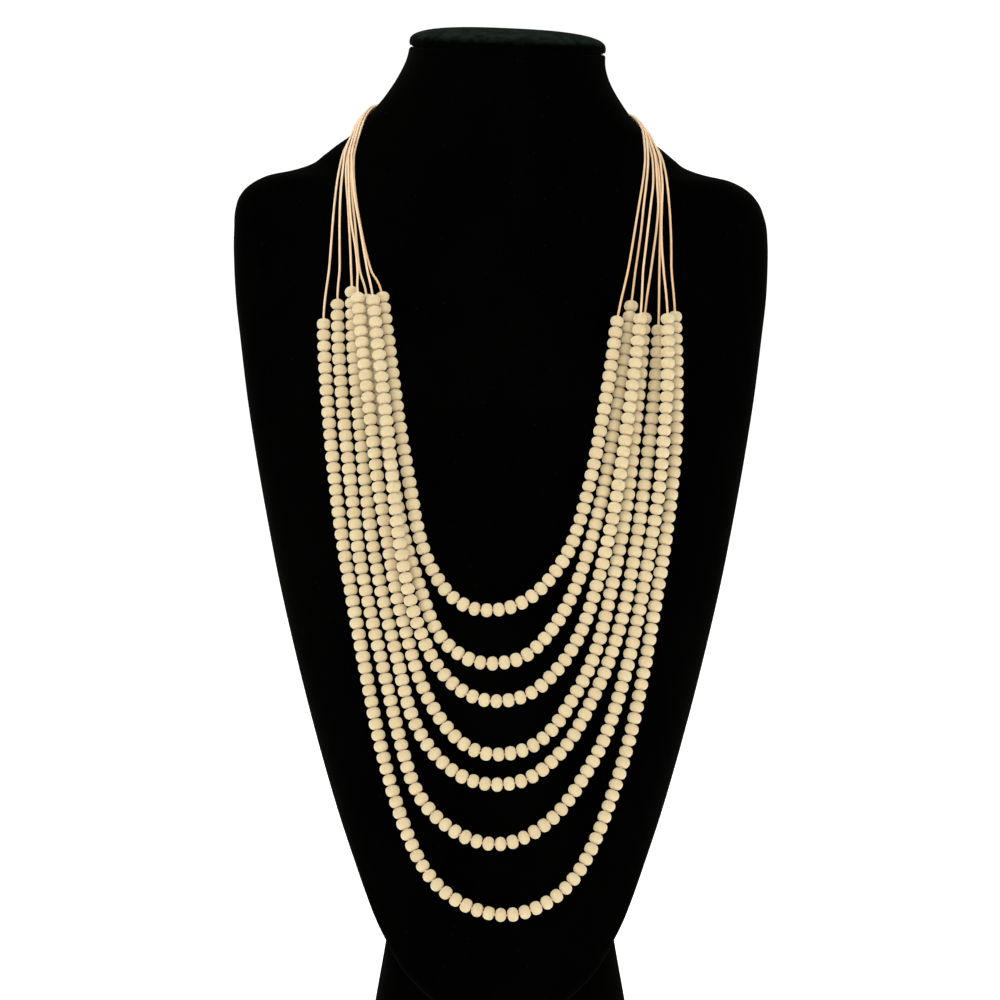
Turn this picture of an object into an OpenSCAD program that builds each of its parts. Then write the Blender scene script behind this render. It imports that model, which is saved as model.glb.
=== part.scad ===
// Seven strings of wooden beads on thin cords, hung one below the other
// round the neck of a black velvet bust. Units are millimetres. The chest
// faces -Y, Z is up, and the foot stands on z = 0 about the Z axis.

/* [Bust] */
// Height of the neck's top above the floor
neck_h = 413; // [380:1:440]
// Width across the shoulders
shoulder_w = 223; // [205:1:240]
// Depth that the section table is drawn for
bust_d = 150; // [140:1:165]
// Lean of the neck's top to the right, degrees
neck_roll = 2.5; // [0:0.1:4]
// Lean of the neck's top to the front, degrees
neck_pitch = 1; // [0:0.1:4]
// Diameter of the neck cap at its widest
cap_d = 82.5; // [80:0.5:90]
// Height of the cap's widest place above its seat
lip_h = 1.9; // [1.2:0.1:4]
// Rise of the cap's padded top above its widest place
dome_h = 7.4; // [4:0.2:10]

/* [Foot] */
// Width of the foot on the floor
foot_w = 110; // [90:1:130]
// Depth of the foot on the floor
foot_d = 94; // [80:1:110]

/* [Beads] */
// Diameter of a bead
bead_d = 5.9; // [5:0.1:6.2]
// Length of a bead along its cord
bead_l = 4.45; // [4:0.05:5]
// Diameter of a bead's flat end
face_d = 3.2; // [3:0.1:4.5]
// Gap between neighbouring beads
bead_gap = 0.16; // [0.12:0.01:0.5]

/* [Cords and clasp] */
// Diameter of a cord
cord_d = 1; // [0.7:0.1:1.2]
// Diameter of the barrel clasp at the nape
clasp_d = 6.8; // [6.2:0.1:9]
// Length of the barrel clasp
clasp_l = 14; // [12:0.5:20]
// Depth of the cup that takes the cords at each end of the clasp
cup_depth = 3; // [2:0.5:4]

/* [Fit] */
// Room round a cord in its bead's bore
bore_gap = 0.25; // [0.15:0.05:0.35]
// Gap between pieces that seat on one another
seat_gap = 0.2; // [0.1:0.05:0.5]
// Gap under cords, beads and clasp where they rest
rest_gap = 0.3; // [0.2:0.05:0.6]

/* [Show] */
// Which node to draw

/* [Hidden] */
$fn = 40;

velvet = [0.07, 0.07, 0.08];
wood = [0.90, 0.82, 0.65];
cord = [0.85, 0.70, 0.56];
metal = [0.78, 0.74, 0.62];

// Bust sections from the lip's tip to the neck's top: height as a share of
// neck_h, half width as a share of half shoulder_w, then front, side and back
// as shares of bust_d, and the exponent of the section's round corners.
// Columns: height, half width, front, side, back, exponent
LIP = [
    [0.045, 0.040, -0.490, -0.447, -0.400, 2.3],
    [0.057, 0.171, -0.493, -0.433, -0.367, 2.3],
    [0.074, 0.259, -0.493, -0.420, -0.347, 2.3],
    [0.094, 0.335, -0.491, -0.413, -0.333, 2.3],
    [0.129, 0.415, -0.487, -0.400, -0.320, 2.3],
    [0.148, 0.451, -0.483, -0.387, -0.313, 2.3],
    [0.169, 0.485, -0.477, -0.350, -0.313, 2.3]];
BODY = [
    [0.170, 0.487, -0.477, -0.347,  0.240, 2.3],
    [0.200, 0.535, -0.467, -0.253,  0.247, 2.3],
    [0.235, 0.586, -0.450, -0.173,  0.257, 2.3],
    [0.294, 0.655, -0.423, -0.120,  0.273, 2.3],
    [0.353, 0.716, -0.390, -0.087,  0.290, 2.3],
    [0.412, 0.772, -0.353, -0.053,  0.310, 2.3],
    [0.471, 0.824, -0.313, -0.013,  0.333, 2.3],
    [0.530, 0.869, -0.270,  0.027,  0.357, 2.3],
    [0.590, 0.911, -0.220,  0.067,  0.383, 2.3],
    [0.650, 0.948, -0.170,  0.107,  0.410, 2.3],
    [0.710, 0.978, -0.117,  0.153,  0.437, 2.3],
    [0.750, 0.996, -0.082,  0.180,  0.453, 2.3],
    [0.780, 1.003, -0.057,  0.200,  0.467, 2.3],
    [0.811, 1.004, -0.033,  0.213,  0.477, 2.3],
    [0.836, 0.995, -0.013,  0.227,  0.487, 2.3],
    [0.851, 0.973, -0.003,  0.233,  0.493, 2.3],
    [0.861, 0.939,  0.003,  0.240,  0.497, 2.3],
    [0.867, 0.903,  0.007,  0.240,  0.500, 2.25],
    [0.872, 0.856,  0.010,  0.240,  0.500, 2.2],
    [0.876, 0.784,  0.013,  0.240,  0.503, 2.2],
    [0.882, 0.713,  0.017,  0.240,  0.503, 2.15],
    [0.892, 0.659,  0.020,  0.240,  0.507, 2.1],
    [0.902, 0.613,  0.020,  0.240,  0.507, 2.05],
    [0.912, 0.563,  0.017,  0.240,  0.510, 2.0],
    [0.922, 0.533,  0.010,  0.240,  0.513, 2.0],
    [0.937, 0.484, -0.003,  0.240,  0.513, 2.0],
    [0.953, 0.439, -0.017,  0.240,  0.513, 2.0],
    [0.973, 0.395, -0.027,  0.240,  0.513, 2.0],
    [0.988, 0.374, -0.030,  0.240,  0.513, 2.0],
    [1.000, 0.368, -0.033,  0.240,  0.513, 2.0]];
// How much of the neck's lean a height takes, and its shift to the right as a
// share of shoulder_w
LEAN = [[0.75, 0], [0.835, 0.38], [0.86, 0.27], [0.95, 0.415], [1, 1]];
SHIFT = [[0.3, 0], [0.6, 0.0011], [0.75, 0.002], [0.82, 0.0013], [0.86, -0.0029],
    [0.892, -0.002], [0.937, 0.002], [0.973, 0.0078], [1, 0.0141]];
// Foot from floor to top: height as a share of the foot's height, then width
// as a share of foot_w and front and back as shares of foot_d
FOOT = [
    [0.00, 1.000, -0.447, 0.553],
    [0.24, 0.950, -0.426, 0.470],
    [0.60, 0.870, -0.394, 0.372],
    [1.00, 0.790, -0.372, 0.298]];

// Routes of the seven strings, innermost first, as [x, height, lift]: x from
// the middle of the bust's section and height, on a bust 223 wide and 413 high,
// and lift off its surface in bead diameters. Each has its bare cord at the
// left, its beads from left to right and its bare cord at the right.
ROUTES = [
    [[[-60.09, 370.5, 0.02], [-60.21, 364, 0.12], [-59.69, 358, 0.1], [-59, 350, 0.03],
      [-57.9, 341, 0.04], [-56.1, 332, 0.12], [-53.4, 322.5, 0.27]],
     [[-49.2, 314, 0], [-45.9, 292, 0], [-42, 265, 0], [-37.4, 239, 0], [-33.2, 217, 0],
      [-27.7, 203, 0], [-20.1, 192.5, 0], [-11.1, 187.5, 0], [-2.1, 187, 0], [6.9, 189, 0],
      [14.9, 194, 0], [21.8, 201.5, 0], [28.3, 211.5, 0], [33.3, 225.5, 0.1], [37.8, 244, 0.35],
      [42.2, 267, 0.48], [45.3, 286, 0.5], [47.9, 304.5, 0.6]],
     [[52.1, 322.5, 0.61], [53.9, 332, 0.41], [55.6, 341, 0.25], [57.7, 350, 0.1],
      [59.4, 358, 0.13], [60.3, 364, 0.1], [60.7, 370.5, 0.09]]],
    [[[-61.16, 370.5, 0.02], [-61.31, 364, 0.12], [-60.93, 358, 0.13], [-60.6, 350, 0.03],
      [-60, 341, 0.04], [-59.3, 332, 0.12], [-58.1, 322.5, 0.27]],
     [[-55.4, 313, 0], [-52.6, 292, 0], [-48.8, 265, 0], [-43.8, 239, 0], [-39.8, 218, 0],
      [-34.2, 200.5, 0], [-27.1, 181, 0], [-20.1, 172, 0], [-10.1, 166.5, 0], [-0.1, 166, 0],
      [9.9, 168.5, 0], [17.9, 175.5, 0], [24.9, 185, 0], [31.4, 198, 0], [36.8, 214, 0],
      [41.8, 234, 0], [46.2, 259, 0], [50.1, 284, 0], [53.7, 310.5, 0]],
     [[55.3, 322.5, 0.28], [56.8, 332, 0.19], [58.2, 341, 0.17], [59.7, 350, 0.2],
      [61, 358, 0.24], [61.7, 364, 0.25], [61.9, 370.5, 0.25]]],
    [[[-61.12, 370.5, 0.43], [-60.83, 364, 0.36], [-60.21, 358, 0.34], [-59.4, 350, 0.3],
      [-58.1, 341, 0.49], [-56.6, 332, 0.74], [-54.8, 322.5, 1.03]],
     [[-52.7, 313, 0.95], [-50.2, 292, 1], [-46.8, 265, 1.05], [-43.7, 237, 1.05],
      [-40.7, 213, 1], [-36.1, 190, 0.75], [-32.1, 178, 0.44], [-28.1, 169, 0.15],
      [-21.6, 160, 0], [-13.1, 153.5, 0], [-4.1, 151, 0], [4.9, 151.5, 0], [13.4, 154.5, 0],
      [21.4, 161.5, 0], [27.9, 169.5, 0], [34.4, 182, 0], [39.8, 199, 0.1], [44.2, 217, 0.42],
      [47.7, 235, 0.62], [50.7, 255, 0.8], [54.2, 280, 0.95], [57.2, 305.5, 1]],
     [[58.4, 322.5, 0.94], [59.6, 332, 0.67], [60.9, 341, 0.44], [62.6, 350, 0.25],
      [63.9, 358, 0.19], [64.1, 364, 0.14], [63.53, 370.5, 0.08]]],
    [[[-62.25, 370.5, 0.39], [-62.31, 364, 0.3], [-61.96, 358, 0.27], [-61.8, 350, 0.25],
      [-61.4, 341, 0.45], [-59.9, 332, 0.69], [-58.9, 322.5, 0.97]],
     [[-58.8, 314, 0.95], [-56.6, 292, 0.85], [-53.3, 265, 0.82], [-49.8, 237, 0.45],
      [-45.7, 213, 0.22], [-41.6, 191, 0.34], [-38.1, 178, 0.1], [-33.6, 162, 0], [-27, 148, 0],
      [-18, 136.5, 0], [-8, 130.5, 0], [2, 130, 0], [12, 132.5, 0], [21, 139.5, 0],
      [28.9, 151, 0], [35.9, 163.5, 0], [41.4, 179, 0], [46.8, 203, 0], [51.3, 227, 0],
      [54.2, 252, 0], [56.9, 277, 0], [59.2, 305.5, 0]],
     [[61.7, 322.5, 0.25], [63.1, 332, 0.19], [64.5, 341, 0.17], [65.78, 350, 0.2],
      [65.71, 358, 0.27], [65.48, 364, 0.25], [64.79, 370.5, 0.3]]],
    [[[-62.7, 370.5, 0.06], [-63.31, 364, 0.17], [-63, 358, 0.13], [-62.6, 350, 0.03],
      [-62.5, 341, 0.04], [-62.1, 332, 0.12], [-61.7, 322.5, 0.27]],
     [[-61.4, 316, 0], [-60.7, 292, 0], [-58.2, 265, 0], [-55.2, 237, 0], [-51.7, 211, 0],
      [-46.6, 187, 0], [-41.1, 165, 0], [-36, 145.5, 0], [-28, 131.5, 0], [-18, 122.5, 0],
      [-8, 118.5, 0], [2, 118, 0], [12, 120.5, 0], [21, 127, 0], [29, 136, 0], [36.4, 149.5, 0],
      [43.4, 164.5, 0], [49.9, 185, 0], [54.8, 210, 0], [58.3, 233, 0], [61.2, 257, 0],
      [63.5, 280, 0], [64.7, 300.5, 0]],
     [[65.3, 322.5, 0.15], [65.6, 332, 0.06], [66.1, 341, 0.01], [66.68, 350, 0.02],
      [66.74, 358, 0.19], [66.39, 364, 0.17], [65.23, 370.5, 0.06]]],
    [[[-63.86, 370.5, 0.35], [-64.6, 364, 0.25], [-65, 358, 0.24], [-65.7, 350, 0.2],
      [-66.4, 341, 0.17], [-66.5, 332, 0.19], [-66.5, 322.5, 0.25]],
     [[-67.3, 311, 0], [-66.5, 288, 0], [-64.1, 262, 0], [-61, 235, 0], [-57.8, 210, 0],
      [-52.6, 185, 0], [-46.6, 160, 0], [-40.5, 135, 0], [-35, 117.5, 0], [-28, 107, 0],
      [-18, 99, 0], [-8, 95, 0], [2.5, 94.5, 0], [13, 98.5, 0], [23, 106, 0], [31.5, 117, 0],
      [42, 135, 0], [49.9, 158, 0], [55.9, 183, 0], [60.8, 210, 0], [64.5, 233, 0.5],
      [66.7, 257, 0.9], [68.2, 280, 1.05], [68.2, 305.5, 1.15]],
     [[67, 322.5, 1.03], [66.4, 332, 0.74], [66.4, 341, 0.49], [67.23, 350, 0.31],
      [67.86, 358, 0.29], [67.54, 364, 0.26], [66.62, 370.5, 0.34]]],
    [[[-64.6, 370.5, 0.08], [-66.02, 364, 0.19], [-66.81, 358, 0.15], [-68, 350, 0.03],
      [-69.3, 341, 0.01], [-70.1, 332, 0.08], [-70.9, 322.5, 0.19]],
     [[-73, 303, 0], [-71.6, 276, 0], [-68.8, 247, 0], [-64.9, 217, 0], [-60.1, 190, 0],
      [-54.6, 162, 0], [-49, 135, 0], [-42, 110, 0], [-34, 90, 0], [-25, 77.5, 0],
      [-13, 69.5, 0], [1.5, 66, 0], [15, 69, 0], [27, 77, 0], [36, 90, 0], [44.5, 110, 0],
      [52.5, 135, 0], [58.4, 162, 0], [63.4, 190, 0], [67.8, 217, 0], [71.3, 247, 0],
      [72.2, 276, 0], [71.5, 306, 0]],
     [[70.4, 322.5, 0.19], [70.4, 332, 0.08], [70.4, 341, 0.01], [70.4, 350, 0.03],
      [69.93, 358, 0.22], [69.21, 364, 0.18], [67.41, 370.5, 0.11]]]];
route_w = 223;
route_h = 413;
// Way of the seven cords round the neck at left and at right, nape first:
// degrees from the chest, height on a bust 413 high, height above the neck's
// surface, and how far the packed bundle has spread into one flat row
NECK_WAY = [
    [[160, 390, 1.2, 0], [140, 388.8, 0.4, 0.05], [120, 387.7, 0.1, 0.1],
     [104, 386.6, 0.05, 0.15], [93, 385.2, 0.05, 0.22], [83, 382.7, 0.1, 0.3],
     [74, 378.6, 0.25, 0.25]],
    [[160, 389, 1.2, 0], [140, 387.8, 0.4, 0.1], [120, 386.2, 0.12, 0.2],
     [104, 384.4, 0.05, 0.32], [94, 382.8, 0.05, 0.45], [86, 380.6, 0.15, 0.52],
     [78, 377.2, 0.35, 0.42]]];
nape_h = 390;
// Place of each string's cord in the bundle at left and right: lane outward
// from the middle, layer 0 on the neck or 1 on the cords below, and lane in
// the flat row
LANES = [
    [[-1.5, 0, -3], [-1.5, 0, -3]], [[-0.5, 0, -1], [-1, 1, -2]], [[-1, 1, -2], [-0.5, 0, -1]],
    [[0, 1, 0], [0, 1, 0]], [[0.5, 0, 1], [0.5, 0, 1]], [[1, 1, 2], [1, 1, 2]],
    [[1.5, 0, 3], [1.5, 0, 3]]];

section_n = 44;   // sides of the bust and the foot
cord_n = 8;       // sides of a cord
string_n = 10;    // sides of a string drawn as one tube
smooth_n = 6;     // points that round each stretch of a route
tube_step = 9.5;  // spacing of a tube's rings
bend_max = 1.5;   // turn, in degrees, that beads on one straight stretch share
run_max = 4;      // beads that one straight stretch may hold

bead_r = bead_d / 2;
cord_r = cord_d / 2;
bore_r = cord_r + bore_gap;
lane_w = cord_d * 1.38;
layer_h = cord_d * 1.1;
pitch = bead_l + bead_gap;
foot_h = LIP[6][0] * neck_h - seat_gap;
nape_y = last(BODY)[4] * bust_d;
neck_y = last(BODY)[3] * bust_d;
neck_x = last(SHIFT)[1] * shoulder_w;
clasp_y = nape_y + rest_gap + clasp_d / 2;
// The middle of the depth, from the lowest beads to the clasp, is y = 0
lowest_y = lookup(ROUTES[6][1][11][1] / route_h, column(LIP, 2)) * bust_d - rest_gap - bead_d;
mid_y = (clasp_y + clasp_d / 2 + lowest_y) / 2;

function unit(v) = v / norm(v);
function last(v) = v[len(v) - 1];
function column(rows, k) = [for (r = rows) [r[0], r[k]]];
SECTIONS = concat(LIP, BODY);
WIDTH = column(SECTIONS, 1);
FRONT = column(SECTIONS, 2);
SIDE = column(SECTIONS, 3);
BACK = column(SECTIONS, 4);
EXPO = column(SECTIONS, 5);

// Leans a section's point: right side and front go down
function leaned(x, y, h) = let (k = lookup(h / neck_h, LEAN))
    [x + lookup(h / neck_h, SHIFT) * shoulder_w, y - mid_y,
     h - k * (x * tan(neck_roll) - (y - neck_y) * tan(neck_pitch))];

// One point of a section: two half superellipses that meet at the side
function corner(t, w, f, s, b, n) = let (c = cos(t), q = sin(t))
    [sign(q) * w * pow(abs(q), 2 / n),
     s + (c > 0 ? f - s : b - s) * pow(abs(c), 2 / n)];

function ring(row) = [for (i = [0:section_n - 1])
    let (p = corner(360 * i / section_n, row[1] * shoulder_w / 2, row[2] * bust_d,
        row[3] * bust_d, row[4] * bust_d, row[5]))
    leaned(p[0], p[1], row[0] * neck_h)];

// Point of the bust's surface at t degrees from the chest's middle
function surf(t, h) = let (k = h / neck_h,
    p = corner(t, lookup(k, WIDTH) * shoulder_w / 2, lookup(k, FRONT) * bust_d,
        lookup(k, SIDE) * bust_d, lookup(k, BACK) * bust_d, lookup(k, EXPO)))
    leaned(p[0], p[1], h);

// Point in front of the chest at x and height h, off above its surface
function chest(x, h, off) = let (k = h / neck_h, w = lookup(k, WIDTH) * shoulder_w / 2,
    t = function (x) asin(pow(min(abs(x) / w, 1), lookup(k, EXPO) / 2)) * sign(x),
    p = surf(t(x), h), e = 1,
    gx = (surf(t(x + e), h)[1] - surf(t(x - e), h)[1]) / (2 * e),
    gz = (surf(t(x), h + e)[1] - surf(t(x), h - e)[1]) / (2 * e))
    p - [0, off * sqrt(1 + gx * gx + gz * gz), 0];

// Outward normal of the neck at t and h
function neck_normal(t, h) = let (u = surf(t + 1, h) - surf(t - 1, h),
    v = surf(t, h + 1) - surf(t, h - 1)) unit(cross(u, v));

// Cord of string k on one side, from the clasp to the shoulder
function neck_cord(k, side) = let (
    j = side < 0 ? 0 : 1, lane = LANES[k][j], way = NECK_WAY[j], n = len(way),
    kh = neck_h / route_h,
    mid = [for (g = way) surf(side * g[0], g[1] * kh)],
    nor = [for (g = way) neck_normal(side * g[0], g[1] * kh)],
    x0 = side * (clasp_l / 2 - cup_depth + 2 * seat_gap), x1 = side * (clasp_l / 2 + 3),
    yc = clasp_y - mid_y + (lane[1] - 0.5) * layer_h,
    zc = nape_h * kh - lane[0] * lane_w)
    concat([[x0, yc, zc], [x1, yc, zc]],
        [for (i = [0:n - 1]) let (
            run = mid[min(i + 1, n - 1)] - mid[max(i - 1, 0)],
            out = unit(cross(run, nor[i])) * -side,
            f = way[i][3], across = lane[0] + (lane[2] - lane[0]) * f,
            up = cord_r + rest_gap + lane[1] * (1 - f) * layer_h + way[i][2])
            mid[i] + nor[i] * up + out * across * lane_w]);

function on_chest(points, r) = [for (p = points)
    chest(p[0] * shoulder_w / route_w, p[1] * neck_h / route_h,
        r + rest_gap + p[2] * bead_d)];
function reversed(v) = [for (i = [len(v) - 1:-1:0]) v[i]];

// Whole route of string k as its chosen points, and where its beads are in it
function knots(k) = concat(neck_cord(k, -1), on_chest(ROUTES[k][0], cord_r),
    on_chest(ROUTES[k][1], bead_r), on_chest(ROUTES[k][2], cord_r),
    reversed(neck_cord(k, 1)));
function first_bead(k) = 2 + len(NECK_WAY[0]) + len(ROUTES[k][0]);
function last_bead(k) = first_bead(k) + len(ROUTES[k][1]) - 1;

// Smooth curve through points v, smooth_n steps from each to the next
function blend(a, b, c, d, s) = b + 0.5 * s * ((c - a)
    + s * ((2 * a - 5 * b + 4 * c - d) + s * (3 * b - a - 3 * c + d)));
function smooth(v) = let (n = len(v)) concat(
    [for (i = [0:n - 2]) for (j = [0:smooth_n - 1])
        blend(v[max(i - 1, 0)], v[i], v[i + 1], v[min(i + 2, n - 1)], j / smooth_n)],
    [v[n - 1]]);
function part_of(v, a, b) = [for (i = [a * smooth_n:b * smooth_n]) v[i]];

function turn(a, b) = let (c = unit(a) * unit(b)) acos(min(c, 1));
// Running length of curve v, less what the faces of radius f lose at its bends
function run_of(v, f) = [for (i = 0, s = 0; i < len(v);
    s = i + 1 < len(v) ? s + norm(v[i + 1] - v[i])
        - (i > 0 ? f * turn(v[i] - v[i - 1], v[i + 1] - v[i]) * PI / 180 : 0) : s,
    i = i + 1) s];
// Curve v drawn again with n equal steps of its running length
function spaced(v, n, f = 0) = let (s = run_of(v, f), m = len(v) - 1,
    xs = [for (i = [0:m]) [s[i], v[i][0]]], ys = [for (i = [0:m]) [s[i], v[i][1]]],
    zs = [for (i = [0:m]) [s[i], v[i][2]]])
    [for (j = [0:n]) let (u = s[m] * j / n) [lookup(u, xs), lookup(u, ys), lookup(u, zs)]];

// Gaps between the beads of string k, from before the first to after the last
function gaps(k) = let (v = part_of(smooth(knots(k)), first_bead(k), last_bead(k)))
    spaced(v, floor(last(run_of(v, face_d / 2)) / pitch), face_d / 2);

// Numbers of the gaps at which string k's cord bends
function bends(g) = let (n = len(g) - 1) [for (j = 0, a = 0, c = 0, keep = true; j <= n;
    j = j + 1,
    c = keep ? 1 : c + 1,
    a = (keep ? 0 : a) + (j < n && j > 0 ? turn(g[j] - g[j - 1], g[j + 1] - g[j]) : 0),
    keep = j == n || a > bend_max || c >= run_max) if (keep) j];

// Mitred tube of radius r and n sides along points v
function frames(v) = let (m = len(v) - 1,
    t = [for (i = [0:m]) unit((i < m ? unit(v[i + 1] - v[i]) : [0, 0, 0])
        + (i > 0 ? unit(v[i] - v[i - 1]) : [0, 0, 0]))])
    [for (i = 0, u = unit(cross(t[0], [0.1, 0.2, 1])); i <= m;
        u = i < m ? unit(u - (u * t[i + 1]) * t[i + 1]) : u,
        i = i + 1) [v[i], u, cross(t[i], u)]];
module tube(v, r, n) {
    m = len(v) - 1;
    f = frames(v);
    polyhedron(
        points = [for (q = f) for (j = [0:n - 1])
            q[0] + r * (cos(360 * j / n) * q[1] + sin(360 * j / n) * q[2])],
        faces = concat(
            [[for (j = [0:n - 1]) j]],
            [for (i = [0:m - 1]) for (j = [0:n - 1]) let (a = i * n + j, b = i * n + (j + 1) % n)
                each [[a, a + n, b + n], [a, b + n, b]]],
            [[for (j = [n - 1:-1:0]) m * n + j]]));
}

// Stack of rings closed at both ends, lowest first
module rings(v) {
    n = len(v[0]);
    m = len(v) - 1;
    polyhedron(
        points = [for (q = v) each q],
        faces = concat(
            [[for (j = [0:n - 1]) j]],
            [for (i = [0:m - 1]) for (j = [0:n - 1]) let (a = i * n + j, b = i * n + (j + 1) % n)
                each [[a, a + n, b + n], [a, b + n, b]]],
            [[for (j = [n - 1:-1:0]) m * n + j]]));
}

module bust() {
    color(velvet) rings([for (r = SECTIONS) ring(r)]);
}

module foot() {
    color(velvet) rings([for (r = FOOT) [for (i = [0:section_n - 1])
        let (f = r[2] * foot_d, b = r[3] * foot_d,
            p = corner(360 * i / section_n, r[1] * foot_w / 2, f, (f + b) / 2, b, 2.4))
        [p[0], p[1] - mid_y, r[0] * foot_h]]]);
}

// Padded disc, widest just above the neck, on a narrow step that seats there
module neck_cap() {
    step_h = 0.5;
    dome_n = 9;
    fullness = 2.7;
    cap_r = cap_d / 2;
    color(velvet) translate([neck_x, neck_y - mid_y, neck_h])
        rotate([neck_pitch, neck_roll, 0]) translate([0, 0, seat_gap])
        rotate_extrude() polygon(concat(
            [[0, 0], [cap_r - 1.2, 0], [cap_r - 1.2, step_h], [cap_r - 0.7, step_h],
             [cap_r - 0.15, 0.4 * step_h + 0.6 * lip_h]],
            [for (i = [0:dome_n]) let (a = 90 * i / dome_n)
                [cap_r * pow(cos(a), 2 / fullness), lip_h + dome_h * pow(sin(a), 2 / fullness)]]));
}

// Barrel with a cup at each end that takes the seven cords
module clasp() {
    cup_r = 1.5 * lane_w + cord_r + rest_gap;
    color(metal) translate([0, clasp_y - mid_y, nape_h * neck_h / route_h]) rotate([0, 90, 0])
        difference() {
            cylinder(d = clasp_d, h = clasp_l, center = true);
            for (s = [-1, 1]) translate([0, 0, s * (clasp_l / 2 - cup_depth / 2 + 0.5)])
                cylinder(r = cup_r, h = cup_depth + 1, center = true);
        }
}

// Turns what stands on Z to lie along d
module along(d) {
    rotate([0, acos(d[2] / norm(d)), atan2(d[1], d[0])]) children();
}

// Drilled bead: an arc turned round the bore, with flat ends
module bead() {
    f = face_d / 2;
    h = bead_l / 2;
    c = (bead_r * bead_r - f * f - h * h) / (2 * (bead_r - f));
    rotate_extrude() intersection() {
        translate([c, 0]) circle(r = bead_r - c);
        translate([bore_r, -h]) square([bead_r, bead_l]);
    }
}

module beads(k) {
    g = gaps(k);
    b = bends(g);
    color(wood) for (i = [0:len(b) - 2]) {
        p = g[b[i]];
        d = g[b[i + 1]] - p;
        n = b[i + 1] - b[i];
        for (j = [0:n - 1]) translate(p + d * (j + 0.5) / n) along(d) bead();
    }
}

// A string drawn as one tube, its ends at the outer beads' faces
module string(k) {
    g = gaps(k);
    length = last(run_of(g, 0));
    color(wood) tube(spaced(g, ceil(length / tube_step)), bead_r, string_n);
}

// Rings of a bare stretch, clasp first: two to a knot round the neck, one in front
function bare(k, side) = let (n = first_bead(k), m = len(NECK_WAY[0]) + 2,
    v = smooth(knots(k)), w = side < 0 ? v : reversed(v), h = smooth_n / 2)
    concat([for (i = [0:2 * m - 2]) w[i * h]], [for (i = [m:n]) w[i * smooth_n]]);

// Cord that runs through every bead of string k
module thread(k) {
    g = gaps(k);
    left = bare(k, -1);
    right = bare(k, 1);
    color(cord) tube(concat([for (i = [0:len(left) - 2]) left[i]], [for (i = bends(g)) g[i]],
        [for (i = [len(right) - 2:-1:0]) right[i]]), cord_r, cord_n);
}

// The two bare stretches of string k's cord, up to its tube's ends
module bare_thread(k) {
    color(cord) for (side = [-1, 1]) {
        v = bare(k, side);
        n = len(v) - 1;
        tube([for (i = [0:n]) i < n ? v[i] : v[n] + unit(v[n - 1] - v[n]) * rest_gap],
            cord_r, cord_n);
    }
}

module beads_1() { beads(0); }
module beads_2() { beads(1); }
module beads_3() { beads(2); }
module beads_4() { string(3); }
module beads_5() { string(4); }
module beads_6() { string(5); }
module beads_7() { string(6); }
module thread_1() { thread(0); }
module thread_2() { thread(1); }
module thread_3() { thread(2); }
module thread_4() { bare_thread(3); }
module thread_5() { bare_thread(4); }
module thread_6() { bare_thread(5); }
module thread_7() { bare_thread(6); }

bust();
foot();
neck_cap();
clasp();
beads_1();
beads_2();
beads_3();
beads_4();
beads_5();
beads_6();
beads_7();
thread_1();
thread_2();
thread_3();
thread_4();
thread_5();
thread_6();
thread_7();
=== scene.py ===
"""Seven strings of wooden beads on thin cords, on a black velvet neck bust.

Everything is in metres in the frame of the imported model: the chest faces -Y,
Z is up, and the foot stands on z = 0 about the Z axis. Every new piece is a
surface worked out with numpy as whole arrays. The section tables and the
routes are the ones that the solid model is drawn from.
"""

import logging
import math
from dataclasses import dataclass, field
from enum import Enum
from typing import Any

import bpy
import numpy as np
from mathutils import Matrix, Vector


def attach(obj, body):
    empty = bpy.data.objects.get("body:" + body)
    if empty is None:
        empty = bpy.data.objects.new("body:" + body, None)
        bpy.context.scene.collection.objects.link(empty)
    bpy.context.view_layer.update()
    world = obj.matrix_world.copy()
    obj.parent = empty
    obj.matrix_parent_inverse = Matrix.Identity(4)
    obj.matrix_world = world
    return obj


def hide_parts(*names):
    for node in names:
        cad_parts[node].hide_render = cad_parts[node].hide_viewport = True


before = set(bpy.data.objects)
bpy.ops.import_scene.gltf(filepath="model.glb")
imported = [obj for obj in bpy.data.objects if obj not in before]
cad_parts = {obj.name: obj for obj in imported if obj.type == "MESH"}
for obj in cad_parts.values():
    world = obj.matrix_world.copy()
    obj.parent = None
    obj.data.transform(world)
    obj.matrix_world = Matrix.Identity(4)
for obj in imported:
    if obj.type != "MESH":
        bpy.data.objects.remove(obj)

Array = np.ndarray
Colour = tuple[float, float, float, float]
Point = tuple[float, float, float]

log = logging.getLogger("necklace")
BODY_NAME = "root"
MM = 0.001
WHITE: Colour = (1.0, 1.0, 1.0, 1.0)
SENSOR_MM = 36.0
# Angles of the rings in a rounded edge.
ROUNDING = np.linspace(0, math.pi / 2, 6)

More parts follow.
